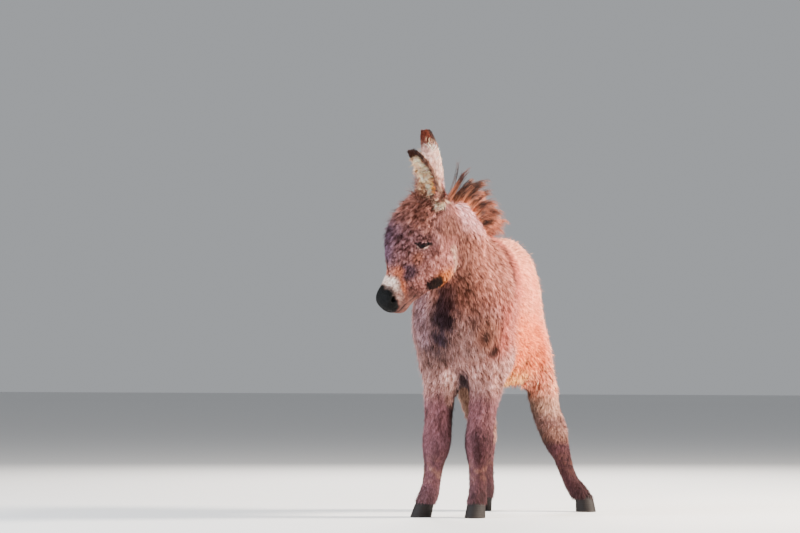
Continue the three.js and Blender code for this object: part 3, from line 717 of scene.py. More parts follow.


# ---------- markings and painted light and shade ---
def blob(p, centre, radius):
    """1 at the centre, fading to 0 at about the radius."""
    return np.exp(-((np.linalg.norm(p - np.asarray(centre, float), axis=1) / radius) ** 2) * 1.5)


def patch(p, centre, radius, low, high):
    """A blob with a firmer edge: 0 where the blob is below low, 1 where it is above high."""
    return ramp(blob(p, centre, radius), low, high)


class Paint:
    """The colours of some points, laid on in turn."""

    def __init__(self, base, count):
        self.colour = np.broadcast_to(base, (count, 3))

    def lay(self, colour, *shares):
        """Mixes a colour over the others by the product of the shares."""
        self.colour = mix(self.colour, colour, math.prod(shares))

    def scale(self, factor, *shares):
        """Makes the colours lighter or darker by a factor, one number or one for each channel."""
        self.lay(self.colour * factor, *shares)


class Waves:
    """Soft noise of about the given wavelength, from -1 to 1, the same for the same seed."""

    def __init__(self, wavelength, seed, along=None):
        rng = np.random.default_rng(seed)
        ways = unit(rng.normal(size=(14, 3)))
        if along is not None:  # drawn out into lines that way
            ways = unit(ways - 0.93 * np.outer(ways @ unit(along), unit(along)))
        self.ways = ways * (2 * math.pi / wavelength) * rng.uniform(0.6, 1.6, (14, 1))
        self.phase = rng.uniform(0, 2 * math.pi, 14)

    def __call__(self, p):
        return np.sin(p @ self.ways.T + self.phase).sum(axis=1) / 5.3


BLOTCH = Waves(70, 3)
MOTTLE = Waves(26, 4)
FLECK = Waves(11, 5)
STREAK = Waves(17, 6, (0, 0.2, -1))
BODY_LINES = Waves(8, 7, (0, 0.25, -1))
HEAD_LINES = Waves(8, 8, FACE)
STREAK_WIDE = Waves(30, 9, (0, 0.2, -1))
FRINGE = [  # reddish hair along the shoulder's rear edge: (place, radius)
    ((105, 52, 778), 22),
    ((116, 48, 756), 20),
    ((126, 44, 734), 22),
    ((133, 45, 712), 20),
    ((138, 47, 691), 20),
]
SMUTS = [((103, -99, 541), 30), ((115, -57, 498), 28), ((121, 200, 463), 24), ((119, 170, 726), 13)]
THROAT_SHADOW_PLACES = [  # painted shadow under the jaw and down the breast: (place, radius, strength)
    ((8, -157, 658), 40, 1.0),
    ((2, -158, 630), 48, 1.0),
    ((-8, -158, 588), 50, 1.0),
    ((-26, -142, 538), 44, 0.9),
    ((-50, -124, 490), 40, 0.6),
]
RIDGE_HIGHLIGHT_PLACES = [(96, -84, 56), (110, -98, 51), (128, -112, 45), (148, -122, 40), (170, -124, 38)]
INNER_FRINGE = [(-30, -52, 420), (-29, -42, 396), (-29, -30, 372), (-28, -24, 348)]


def leg_share(p):
    return fall(p[:, 2], 330, 400)


def shoulder_share(p):
    return ramp(-p[:, 1] + 14 * BLOTCH(p), -150, -45)


def chest_share(p):
    y, z = p[:, 1], p[:, 2]
    return np.maximum(fall(y, -90, -10) * fall(z, 560, 700), shoulder_share(p) * fall(z, 450, 520))


def paint_trunk(coat, p):
    x, y, z = p.T
    coat.lay(BACK_BROWN, ramp(z, 700, 800))
    coat.lay(RUMP_BEIGE, ramp(y, 330, 430))
    coat.lay(BELLY_GOLD, fall(z, 410, 520), ramp(y, 20, 90), fall(y, 220, 300))
    coat.lay(FLANK_SHADE, fall(x, -50, 30), fall(z, 720, 800), 0.8)
    coat.lay(mix(SHOULDER_BROWN[None], CHEST_BROWN[None], fall(x, -60, 20)), shoulder_share(p))
    coat.lay(CHEST_BROWN, chest_share(p))
    middle = bell(x + 20, 62) * fall(y, -110, -40)
    coat.lay(CHEST_DARK, middle, ramp(z, 380, 440), fall(z, 560, 640), 0.6)
    neck = ramp(z, 600, 680) * fall(y, 0, 70)
    coat.lay(NECK_BROWN, neck, 0.8)
    coat.scale(0.6, ramp(STREAK_WIDE(p), 0.1, 0.9), neck, ramp(x, -20, 30), 0.7)
    coat.lay(CREST_PINK, ramp(z, 800, 880), fall(y, -120, -60), 0.6)
    coat.lay(CHEST_DARK, bell(x + 6 + y * 0.04, 13), ramp(z, 770, 800), ramp(y, 60, 130), 0.75)


def paint_legs(coat, p):
    _, y, z = p.T
    tone = mix(LEG_BROWN, GASKIN_BEIGE, ramp(y, 250, 330) * ramp(z, 250, 330))
    coat.lay(tone, leg_share(p))
    coat.lay(LEG_DARK, fall(z, 220, 300), 0.75)
    coat.lay(LEG_TAN, fall(z, 150, 200), ramp(z, 90, 130), ramp(MOTTLE(p), -0.4, 1.2), 0.35)
    coat.lay(PASTERN_DARK, fall(z, 60, 110), 0.8)
    coat.lay(GASKIN_BEIGE, ramp(z, 205, 225), fall(z, 250, 290), ramp(y, 300, 360), 0.6)
    coat.scale(0.75, fall(z, 150, 200), ramp(y, 250, 320))


def paint_flank(coat, p):
    x, y, z = p.T
    low = fall(z, 540, 640) * ramp(z, 400, 460) * ramp(y, 80, 140) * fall(y, 290, 370)
    coat.lay(FLANK_LOW, low, ramp(x, -20, 40))
    coat.scale((1.0, 1.28, 1.26), bell(y - 40, 45), ramp(x, 60, 110), fall(z, 600, 660), ramp(z, 450, 500))
    coat.scale(0.9, fall(z, 540, 600), ramp(z, 440, 470), fall(y, -40, 20))


def paint_breast(coat, p):
    """The throat, the breast and the tops of the forelegs."""
    x, y, z = p.T
    # painted skylight: a mauve tint on the right front of the breast
    coat.lay(PAINTED_SKYLIGHT_MAUVE, fall(x, -75, -30), fall(y, -120, -60), ramp(z, 460, 520), 0.6)
    # painted shadow under the jaw and down the breast
    throat = np.max([k * blob(p, place, radius) for place, radius, k in THROAT_SHADOW_PLACES], axis=0)
    coat.lay(THROAT_SHADOW, ramp(throat + 0.16 * STREAK(p), 0.12, 0.75), 0.95)
    coat.scale(0.45, ramp(STREAK_WIDE(p), 0.1, 1.0), chest_share(p), 0.8)
    # painted shadow in the crotch between the forelegs and under the chest
    parting = fall(z, 424, 454) * fall(np.abs(x - 5), 12, 30) * ramp(y, -88, -64)
    between = fall(z, 396, 430) * ramp(y, -34, -10) * fall(y, 80, 150) * fall(np.abs(x), 50, 80)
    coat.lay(THROAT_SHADOW * 0.4, np.maximum(parting, between), 0.95)
    coat.scale(1.3, fall(z, 465, 490), ramp(z, 405, 430), fall(y, 20, 90), ramp(x, -60, -35))
    # painted shade on the right front of the breast
    coat.scale(0.6, patch(p, (-76, -98, 465), 80, 0.1, 0.7))
    coat.scale((0.80, 0.64, 0.52), patch(p, (110, -85, 545), 64, 0.1, 0.7))
    coat.scale(1.35, patch(p, (108, -38, 385), 46, 0.1, 0.7))
    for place in INNER_FRINGE:
        coat.lay(FRINGE_PALE, patch(p, place, 30, 0.2, 0.8), 0.8)
    # painted light on the lower right foreleg
    coat.scale(1.2, fall(x, -70, -40), fall(y, 20, 60), fall(z, 340, 400))
    # painted shade on the left legs below the knee and the hock
    coat.scale((0.56, 0.49, 0.48), ramp(x, 40, 70), fall(z, 225, 290))


def body_colour(p):
    """Trunk, neck and legs."""
    coat = Paint(FLANK_BEIGE, len(p))
    paint_trunk(coat, p)
    paint_legs(coat, p)
    paint_flank(coat, p)
    paint_breast(coat, p)
    coat.lay(CHEST_DARK, ramp(p[:, 1], 505, 540), 0.35)
    lines = ramp(BODY_LINES(p), -0.4, 0.5)
    for place, radius in FRINGE:
        coat.lay(FRINGE_RED, patch(p, place, radius, 0.15, 0.6), 0.3 + 0.7 * lines)
    for place, radius in SMUTS:
        coat.lay(FRINGE_RED * 0.3, ramp(blob(p, place, radius) + 0.2 * STREAK(p), 0.3, 0.7), 0.85)
    return coat.colour


def paint_face(coat, p):
    s, n, side = head_coordinates(p).T
    coat.lay(CHEEK_BROWN, fall(n, -45, 10))
    # a darker forehead, strongest on its right side: partly its own colour and partly painted shade
    brow = ramp(n, 20, 70) * ramp(s, 60, 130) * fall(s, 205, 250)
    coat.lay(FOREHEAD_DARK, brow, 0.4 + 0.6 * fall(side, -4, 44))
    # a reddish crown: partly its own colour and partly a painted highlight on the lit curls
    coat.lay(CROWN_RED, fall(s, 50, 130), ramp(n, 0, 50), 0.7)
    coat.lay(NECK_SHADE, patch(p, on_head(46, -36, 60), 48, 0.1, 0.8), 0.8)
    coat.scale(1.15, patch(p, on_head(154, -48, 72), 40, 0.1, 0.8))
    temple = blob(p, on_head(92, -60, 62), 40) + 0.15 * STREAK(p)
    coat.scale((0.72, 0.64, 0.64), ramp(temple, 0.15, 0.8))
    coat.lay(EAR_CREAM * 1.35, patch(p, on_head(3, 20, 54), 14, 0.2, 0.6))


def paint_cheek(coat, p, sign):
    """The jaw with its gold fur and dark spot, and the side of the nose. sign is 1 on the left."""
    s, n, side = head_coordinates(p).T
    coat.lay(JAW_GOLD, patch(p, on_head(192, -104, sign * 58), 54, 0.1, 0.75))
    ragged = 0.5 + 0.5 * ramp(STREAK(p) + 0.6 * FLECK(p), -0.6, 0.7)
    # a painted highlight along the lit ridge at the back edge of the cheek
    coat.lay(RIDGE_HIGHLIGHT_CREAM, ridge_highlight(p, sign), ragged, 0.62)
    off = ((s - 219) / 32) ** 2 + ((n + 82) / 31) ** 2 + ((sign * side - 64) / 34) ** 2
    coat.lay(JAW_SPOT, ramp(np.exp(-off) + 0.12 * FLECK(p), 0.24, 0.56), 0.98)
    coat.lay(FOREHEAD_DARK * 0.6, patch(p, on_head(219, 12, sign * 46), 32, 0.1, 0.6), 0.9)
    coat.lay(RING_ORANGE, patch(p, on_head(232, 34, sign * 34), 24, 0.1, 0.8), 0.55)
    coat.lay(JAW_GOLD, patch(p, on_head(172, 12, sign * 64), 22, 0.1, 0.9), 0.3)


def paint_muzzle(coat, p):
    """The pale ring with its orange border, the chin, the black nose and the mouth."""
    s, n, _ = head_coordinates(p).T
    q = s - 0.95 * np.clip(22 - n, 0, 70) + 5 * MOTTLE(p)
    coat.lay(RING_ORANGE, ramp(q, 222, 244), 0.35 + 0.4 * fall(n, 0, 34))
    ring = mix(RING_WHITE, LIP_PINK, ramp(-n + 6 * MOTTLE(p), -24, 4) * 0.9)
    coat.lay(ring, ramp(q, 245, 257))
    # the chin darker brown: partly its own colour and partly painted shade under the muzzle
    coat.lay(CHIN_BROWN, ramp(-n + 5 * MOTTLE(p), 0, 26), ramp(s, 234, 262), 0.9)
    coat.lay(LIP_PINK, fall(n, -48, -30), ramp(s, 270, 296), 0.6)
    coat.lay(NOSE_GREY, ramp(q, 275, 286), ramp(n, -40, -18), 0.8)
    coat.lay(NOSE_BLACK, ramp(q, 282, 294), ramp(n, -34, -16))
    # painted shade in the mouth's groove
    coat.lay(EYE_LINE, ramp(mouth_groove(p), 0.3, 1.4), 0.9)


def paint_lids(coat, p, eye):
    u, v, w = eye.spread(p)
    near = ((np.hypot(u, v) < EYE_REACH) & (w > -6)) * 1.0
    gap = slit_depth(u, v)
    _, bottom = lid_edges(u)
    coat.lay(FOREHEAD_DARK, near, blob(p, eye.centre + eye.out * 12, 26), 0.3)
    pale = bell(v - bottom + 3.4, 2.3) * ramp(u, -18, -14) * fall(u, 18, 24)
    coat.lay(LID_PALE, near, pale)
    lashes = ramp(gap, -9.5, -6.5) * ramp(v - bottom, 1.0, 3.0) + ramp(gap, -1.6, -0.8)
    coat.lay(EYE_LINE, near, np.clip(lashes, 0, 1))
    # painted shade in the creases at the eye's corners, over the lid and behind the eye
    lines = np.maximum(corner_lines(u, v), 0.8 * cheek_crease(u, v))
    coat.lay(EYE_LINE, near, np.maximum(lines, 0.6 * lid_fold(u, v)), 0.9)


def head_colour(p):
    coat = Paint(FACE_BROWN, len(p))
    paint_face(coat, p)
    for sign in (1, -1):
        paint_cheek(coat, p, sign)
    paint_muzzle(coat, p)
    for eye in EYES:
        paint_lids(coat, p, eye)
    return coat.colour


def ridge_highlight(p, sign):
    """1 along the painted highlight on the lit ridge at the back edge of the cheek, from the ear's foot to the
    jaw.
    """
    near = [blob(p, on_head(s, n, sign * side), 17) for s, n, side in RIDGE_HIGHLIGHT_PLACES]
    return ramp(np.max(near, axis=0), 0.15, 0.8)


def both_ridge_highlights(p):
    return np.maximum(ridge_highlight(p, 1), ridge_highlight(p, -1))


def one_ear_colour(ear, p, normals):
    t, angle, _ = ear.coordinates(p)
    hollow = ear.hollow(p, normals, -0.2, 0.3)
    pale = 1 - ear.dark
    lit = angle / ear.half(t) * ear.lit
    ragged = t + 0.04 * MOTTLE(p) + 0.02 * FLECK(p)
    tip = ramp(ragged, ear.tip - 0.06 * pale, ear.tip + 0.16 * pale + 0.06) ** 0.5
    # the paler back of the far ear is painted light
    own = Paint(mix(EAR_BACK_PAINTED_LIGHT, EAR_BACK, ear.dark), len(p))
    own.lay(EAR_INSIDE, hollow)
    own.lay(EAR_CREAM, 1 - hollow, pale, ramp(lit, 0.45, 0.7))
    # brown at the back of the ear's foot, on the side away from the light: painted shade
    own.lay(EAR_FOOT, 1 - hollow, fall(t, 0.2, 0.40), fall(lit, -0.4, 0.0), 0.9)
    own.lay(EAR_GLOW, hollow, fall(t, 0.26, 0.5), ramp(lit, -0.6, 0.2), 0.95)
    start = np.interp(t, [0.1, 0.35, 0.6], [0.86, 0.72, 0.42])
    margin = ramp(lit - start, 0, 0.1) * ramp(t, 0.06, 0.16) * np.maximum(hollow, ear.dark)
    own.lay(mix(EAR_RUST, EAR_DARK, 0.7), margin)
    edge_dusk = ramp(lit, -0.1, 0.3) * ramp(t, 0.74, 0.84)
    dusk = np.clip(ear.dark + 0.25 * ramp(MOTTLE(p), -0.2, 0.8) + edge_dusk, 0, 1)
    own.lay(mix(EAR_RUST, EAR_DARK, dusk), tip)
    return own.colour


def ear_colour(p, normals):
    colour = np.tile(EAR_BACK, (len(p), 1))
    for ear in EARS:
        t, _, distance = ear.coordinates(p)
        here = (distance < EAR_REACH) & (t > 0.1)
        colour = np.where(here[:, None], one_ear_colour(ear, p, normals), colour)
    return colour


def coat_colour(p, normals):
    """The markings with painted light and shade, the same for the skin and for the coat on it."""
    coat = Paint(mix(body_colour(p), head_colour(p), head_share(p)), len(p))
    s, n, side = head_coordinates(p).T
    behind = bell(n + 62 + 0.76 * s, 52) * ramp(s, 0, 60) * fall(s, 220, 290)
    ragged = np.clip(0.9 + 0.2 * STREAK(p), 0, 1)
    coat.lay(NECK_SHADE, behind, 1 - both_ridge_highlights(p), ramp(side, -40, 20), ragged)
    coat.lay(ear_colour(p, normals), ear_share(p))
    x, y, z = p.T
    facing = ramp(normals @ unit((0.5, -0.87, 0.0)), -0.15, 0.25)
    inside = fall(x, -60, -30) * ramp(y, 240, 290) * fall(z, 410, 440) * ramp(z, 270, 310)
    coat.lay(GASKIN_SHADE, inside, facing, 0.9)
    # painted shade on the left hind leg, on its inner side that faces forward
    facing = ramp(normals @ unit((-0.93, -0.36, 0.0)), 0.05, 0.6)
    coat.scale(0.3, facing, ramp(x, 40, 60), ramp(y, 290, 330), fall(z, 400, 440), ramp(z, 170, 220))
    shade = 1 + 0.09 * BLOTCH(p) + 0.07 * MOTTLE(p)
    return np.clip(coat.colour * shade[:, None], 0.002, 0.95)


# ---------- the lie of the coat ----------
def ways(across, back, up):
    """Directions from three parts, each a number or an array."""
    return np.stack(np.broadcast_arrays(across, back, up), 1)


def flow(p, normals):
    """The way that the hair points at each place, along the skin."""
    x, y, z = p.T
    s, n, side = head_coordinates(p).T
    middle = x + 4 + y * 0.02
    trunk = layered(
        ways(0.12 * np.sign(middle), 0.9, -0.5),
        ((0, 1.0, -0.1), ramp(z, 740, 800)),
        ((0, 0.15, -1), ramp(y, 350, 430)),
        (ways(0.1 * np.sign(middle), 0.55, -0.8), fall(z, 430, 520) * ramp(y, 0, 60)),
        (ways(0.35 * np.tanh((x + 6) / 50), -0.1, -1), fall(y, -40, 40)),
        (ways(0.25 * np.sign(middle - 20), 0.45, -0.85), ramp(z, 640, 720) * fall(y, 0, 80)),
        ((0, -0.06, -1), leg_share(p)),
    )
    on_face = mix(np.tile(FACE, (len(p), 1)), FACE * 0.75 - BROW * 0.65, fall(n, -40, 30))
    spread = np.outer(np.tanh(side / 30), CHEEK) * 0.55
    on_face = on_face + spread * (1 - ramp(s, 110, 200))[:, None]
    on_face = mix(on_face, BROW - FACE, forelock(p))
    way = mix(unit(trunk), unit(on_face), head_share(p))
    for ear in EARS:
        t, _, distance = ear.coordinates(p)
        way = mix(way, ear.up, ramp(t, 0.12, 0.24) * (distance < EAR_REACH))
    return unit(off_normal(way, normals))


class Surface:
    """The skin as arrays: points, normals, triangles, map, and what the coat needs at each point."""

    def __init__(self, me):
        self.points = points_of(me)
        self.normals = normals_of(me)
        me.calc_loop_triangles()
        self.triangles = read(me.loop_triangles, "vertices", 3, np.int32)
        corners = read(me.loop_triangles, "loops", 3, np.int32)
        self.uv = read(me.uv_layers[MAP].data, "uv", 2)[corners]
        web = Web(edges_of(me), len(self.points))
        self.soft_normals = unit(web.smooth(self.normals, 6, keep_size=False))
        self.way = unit(web.smooth(flow(self.points, self.soft_normals), 12, keep_size=False))
        self.colour = coat_colour(self.points, self.normals)
        a, b, c = (self.points[self.triangles[:, k]] for k in range(3))
        self.area = np.linalg.norm(np.cross(b - a, c - a), axis=1) / 2
        self.head = head_share(self.points)
        self.ear = ear_share(self.points)

    def per_face(self, density):
        return self.area * density[self.triangles].mean(axis=1)

    def spread(self, share, count, seed):
        """About count spots, where the share at each vertex says how thickly."""
        return self.scatter(share / self.per_face(share).sum() * count, seed)

    def scatter(self, density, seed):
        """Spots spread evenly: (triangle, weights) for a density per square millimetre at each vertex."""
        rng = np.random.default_rng(seed)
        share = self.per_face(density)
        total = np.cumsum(share)
        count = int(total[-1])
        marks = (np.arange(count) + rng.random(count)) * total[-1] / count
        face = np.searchsorted(total, marks).clip(0, len(share) - 1)
        u, v = rng.random(count), rng.random(count)
        flip = u + v > 1
        u, v = np.where(flip, 1 - u, u), np.where(flip, 1 - v, v)
        return face, np.stack([1 - u - v, u, v], 1)

    def at(self, values, spots):
        """The values of the skin's vertices, taken at spots on its faces."""
        face, weight = spots
        picked = values[self.triangles[face]]
        if picked.ndim == 3:
            weight = weight[:, :, None]
        return (picked * weight).sum(axis=1)

    def map_at(self, spots):
        face, weight = spots
        return (self.uv[face] * weight[:, :, None]).sum(axis=1)


# ---------- tufts ----------
PATCH = 0.003  # the size of a hair's place on the map
TONE_POWER = np.array([1.0, 1.2, 1.3])  # darker hair is redder
ROOT_DEPTH = 0.6  # how far under the skin a hair begins, in millimetres
STRAY_SHARE = 0.06  # of the coat's hairs, which stand out from their locks


def blade_faces(rings):
    """Corners and counts of one blade's faces: two points a ring and one at the tip."""
    loops, totals = [], []
    for i in range(rings - 1):
        loops += [2 * i, 2 * i + 1, 2 * i + 3, 2 * i + 2]
        totals.append(4)
    last = 2 * (rings - 1)
    loops += [last, last + 1, last + 2]
    totals.append(3)
    return np.array(loops), np.array(totals)


def blades(name, spine, side, width, colours, uv):
    """A joined mesh of thin tapered blades.

    spine is (blades, rings + 1, 3), side (blades, 3), width (blades, rings), colours (blades, rings + 1, 3)
    and uv the blade's place on the skin's map.
    """
    count, steps = spine.shape[:2]
    rings = steps - 1
    off = side[:, None, :] * width[:, :, None] / 2
    pairs = np.stack([spine[:, :-1] - off, spine[:, :-1] + off], axis=2).reshape(count, 2 * rings, 3)
    points = np.concatenate([pairs, spine[:, -1:]], axis=1)
    loops, totals = blade_faces(rings)
    base = np.arange(count)[:, None] * (2 * rings + 1)
    me = make_mesh(name, points.reshape(-1, 3), (base + loops).ravel(), np.tile(totals, count))
    shades = np.concatenate([np.repeat(colours[:, :-1], 2, axis=1), colours[:, -1:]], axis=1)
    set_colour(me, shades.reshape(-1, 3))
    across = np.array([-0.5, 0.5] * rings + [0.0])
    along = np.concatenate([np.repeat(np.arange(rings) / rings, 2), [1.0]]) - 0.5
    place = uv[:, None, :] + np.stack([across, along], 1)[None] * PATCH
    me.uv_layers.new(name=MAP).data.foreach_set("uv", place[:, loops].reshape(-1).astype(np.float32))
    return me


class Fur:
    """How the coat is over the skin: arrays with a value for each skin vertex."""

    def __init__(self, skin):
        p = skin.points
        _, y, z = p.T
        s, n, _ = head_coordinates(p).T
        head, ear, leg = skin.head, skin.ear, leg_share(p)
        low = fall(z, 190, 280)
        belly = fall(z, 420, 520) * ramp(y, 20, 80)
        chest = fall(y, -80, -20) * fall(z, 520, 640)
        woolly = head * fall(s, 130, 215) * ramp(n, -10, 40)
        muzzle = head * ramp(s, 240, 285)
        tangle, foot, lock = hock_tangle(p), ear_foot(p), forelock(p)
        self.length = layered(
            23.0,
            (25.0, belly),
            (29.0, chest),
            (19.0, leg),
            (12.5, low),
            (17.0, fall(z, 52, 85)),
            (24.0, tangle),
            (face_length(p, s), head),
            *[(4.0, fall(np.linalg.norm(p - eye.centre, axis=1), 26, 46)) for eye in EYES],
            (8.0, ear),
            (34.0, foot),
        )
        self.width = np.clip(0.60 + self.length * 0.030, 0.7, 1.6)
        snout = head * ramp(s, 200, 280)
        lift = layered(0.42, (0.62, woolly), (0.38, belly), (0.34, low), (0.36, snout), (1.3, lock))
        self.lift = layered(lift, (0.34, ear), (1.05, foot))
        self.pull = layered(0.80, (0.6, low), (0.72, head), (0.35, np.maximum(muzzle, ear)))
        self.spacing = layered(5.6, (5.2, head), (7.5, woolly), (4.2, low))
        self.curl = layered(0.05, (0.26, woolly), (0.04, low)) + 0.05 * belly + 0.12 * tangle
        self.wild = layered(0.13, (0.55, woolly), (0.08, low)) + 0.10 * belly + 0.4 * tangle
        self.contrast = layered(
            0.9,
            (1.75, np.maximum(chest, fall(y, -10, 100))),
            (1.8, head),
            (2.5, woolly),
            (2.0, belly),
            (0.9, leg),
            (0.7, low),
            (0.75, np.maximum(ear, head * ramp(s, 240, 280))),
        )


def face_length(p, s):
    """The hair's length on the head, shorter down the face."""
    length = layered(22.0, (10.0, ramp(s, 110, 215)), (5.0, ramp(s, 252, 285)), (2.4, ramp(s, 296, 312)))
    return mix(length + 8 * both_ridge_highlights(p), 40.0, forelock(p))


def ear_foot(p):
    """1 on the woolly fur round the outside of each ear's foot."""
    share = np.zeros(len(p))
    for ear in EARS:
        t, angle, distance = ear.coordinates(p)
        outside = ramp(-angle / ear.half(t) * ear.lit, 0.0, 0.4) * (distance < 46)
        share = np.maximum(share, outside * ramp(t, 0.02, 0.1) * fall(t, 0.22, 0.40))
    return share


def forelock(p):
    """1 on the tuft that stands between the ears."""
    return ramp(blob(p, on_head(14, 60, 14), 30), 0.2, 0.8)


def hock_tangle(p):
    """1 on the messy fur inside the left hock and behind its point."""
    return np.maximum(blob(p, (112, 372, 262), 34), blob(p, (150, 420, 262), 26))


def open_skin(p):
    """0 where no hair grows: the slits of the eyes, the nostrils and the mouth."""
    free = np.ones(len(p))
    for eye in EYES:
        u, v, w = eye.spread(p)
        lines = np.maximum(corner_lines(u, v), 0.8 * lid_fold(u, v))
        bare = ((slit_depth(u, v) > -5.4) | (lines > 0.4)) & (w > -10) & (np.hypot(u, v) < 34)
        free[bare] = 0
    push, _ = nostril_depth(p)
    free[push > 1.2] = 0
    free[(mouth_groove(p) > 1.2)] = 0
    return free


def gather(skin, seeds, root, seed, spacing):
    """For each root, the lock it belongs to: its root and how far away, its turn, length, lift and tone."""
    rng = np.random.default_rng(seed + 2)
    centre = skin.at(skin.points, seeds)
    tree = KDTree(len(centre))
    for i, c in enumerate(centre):
        tree.insert(c, i)
    tree.balance()
    found = [tree.find(r)[1:] for r in root]
    own = np.array([f[0] for f in found])
    away = np.array([f[1] for f in found]) / spacing
    count = len(centre)
    tone = 1 + 0.2 * rng.normal(0, 1, count).clip(-2, 2)
    lines = mix(BODY_LINES(centre), HEAD_LINES(centre), head_share(centre))
    tone = tone * (1 + 0.18 * lines + 0.12 * STREAK(centre)) * (1 - 0.5 * ramp(lines, 0.6, 1.2))
    return {
        "root": centre[own],
        "away": away,
        "turn": rng.normal(0, 1, (count, 3))[own],
        "long": rng.uniform(0.8, 1.2, count)[own],
        "stand": rng.uniform(0.7, 1.35, count)[own],
        "tone": tone[own],
    }


def hair_lines(root, normal, way, length, lift, t):
    """The points of each hair at shares t of its length: it rises off the skin and bends to its way."""
    rise = (t - 0.42 * t**2)[None] * lift[:, None]
    ahead = t[None] * np.cos(lift * 0.6)[:, None]
    return (
        (root - normal * ROOT_DEPTH)[:, None, :]
        + way[:, None, :] * (ahead * length[:, None])[:, :, None]
        + normal[:, None, :] * (rise * length[:, None] + ROOT_DEPTH * t[None])[:, :, None]
    )


def hair_colours(colour, lock, middle, contrast, t, rng):
    """The colours along each hair: locks and hairs differ in tone, with painted light and shade along the
    hairs and across the locks.
    """
    # lighter middles and darker edges of the locks: painted light and shade
    tone = 1 + (lock["tone"] - 1) * contrast + (middle - 0.6) * 0.4 * contrast
    tone = np.clip(tone * (1 + rng.uniform(-1, 1, len(tone)) * (0.2 + 0.1 * contrast)), 0.2, 2.0)
    # darker roots: painted shade; lighter tips: partly paler hair and partly painted light
    depth = np.interp(t, [0, 0.5, 1], [0.25, 0.80, 1.32])
    depth = 1.12 + (depth[None] - 1.12) * np.minimum(contrast, 1)[:, None]
    return colour[:, None, :] * (tone[:, None] * depth)[:, :, None] ** TONE_POWER


def tufts(name, skin, fur, mask, count, seed, rings):
    """A coat piece: count blades over the skin where mask is 1, gathered into locks."""
    rng = np.random.default_rng(seed)
    furred = mask * open_skin(skin.points)
    spots = skin.spread(furred / np.maximum(fur.length, 4) ** 0.55, count, seed)

    def here(values):
        return skin.at(values, spots)

    root = here(skin.points)
    normal = unit(here(skin.soft_normals))
    seeds = skin.scatter(furred / fur.spacing**2, seed + 1)
    lock = gather(skin, seeds, root, seed, here(fur.spacing))
    middle = fall(lock["away"], 0.1, 0.75)  # 1 in the middle of a lock, 0 between locks
    n = len(root)
    way = unit(here(skin.way)) + lock["turn"] * here(fur.wild)[:, None] + rng.normal(0, 0.14, (n, 3))
    way = unit(off_normal(way, normal))
    stray = rng.random(n) < STRAY_SHARE
    length = here(fur.length) * rng.uniform(0.75, 1.12, n) * lock["long"] * np.where(stray, 1.15, 1)
    lift = here(fur.lift) * rng.uniform(0.65, 1.3, n) * lock["stand"] * (0.8 + 0.35 * middle)
    lift = lift * np.where(stray, 1.7, 1)
    t = np.linspace(0, 1, rings + 1)
    spine = hair_lines(root, normal, way, length, lift, t)
    gap = off_normal(lock["root"] - root, normal)
    spine = spine + gap[:, None, :] * (here(fur.pull)[:, None] * t[None] ** 1.3)[:, :, None]
    bend = rng.normal(0, 1, (n, 3)) * 0.5 + lock["turn"][:, ::-1] * 0.8
    spine = spine + bend[:, None, :] * (here(fur.curl) * length)[:, None, None] * (t[None, :, None] ** 2)
    twist = rng.normal(0, 0.45, n)
    side = unit(np.cross(way, normal))
    side = side * np.cos(twist)[:, None] + normal * np.sin(twist)[:, None]
    width = here(fur.width) * rng.uniform(0.75, 1.25, n) * np.where(stray, 0.6, 1)
    width = width[:, None] * np.interp(t[:-1], [0, 0.35, 1], [0.8, 1.0, 0.3])[None]
    colours = hair_colours(here(skin.colour), lock, middle, here(fur.contrast), t, rng)
    return blades(name, spine, side, width, colours, skin.map_at(spots))


def wisps(name, roots, ways, bends, lengths, width, colours, uv, seed, steps):
    """Longer single hairs: each leaves its root along its way and bends towards its bend."""
    rng = np.random.default_rng(seed)
    t = np.linspace(0, 1, steps)
    reach = lengths[:, None, None]
    spine = roots[:, None, :] + reach * (
        ways[:, None, :] * (t - 0.5 * t**2)[None, :, None] + bends[:, None, :] * (0.5 * t**2)[None, :, None]
    )
    side = unit(np.cross(ways, rng.normal(size=ways.shape)))
    taper = np.interp(t[:-1], [0, 0.4, 1], [0.8, 1, 0.3])[None] * rng.uniform(0.7, 1.2, (len(roots), 1))
    return blades(name, spine, side, width * taper, colours, uv)


EAR_LOCK = 10.0  # the size of a lock of ear hair, in millimetres
SCRAMBLE = np.array([[12.9, 78.2, 37.7], [39.3, 11.1, 83.2], [73.1, 52.2, 9.1]])


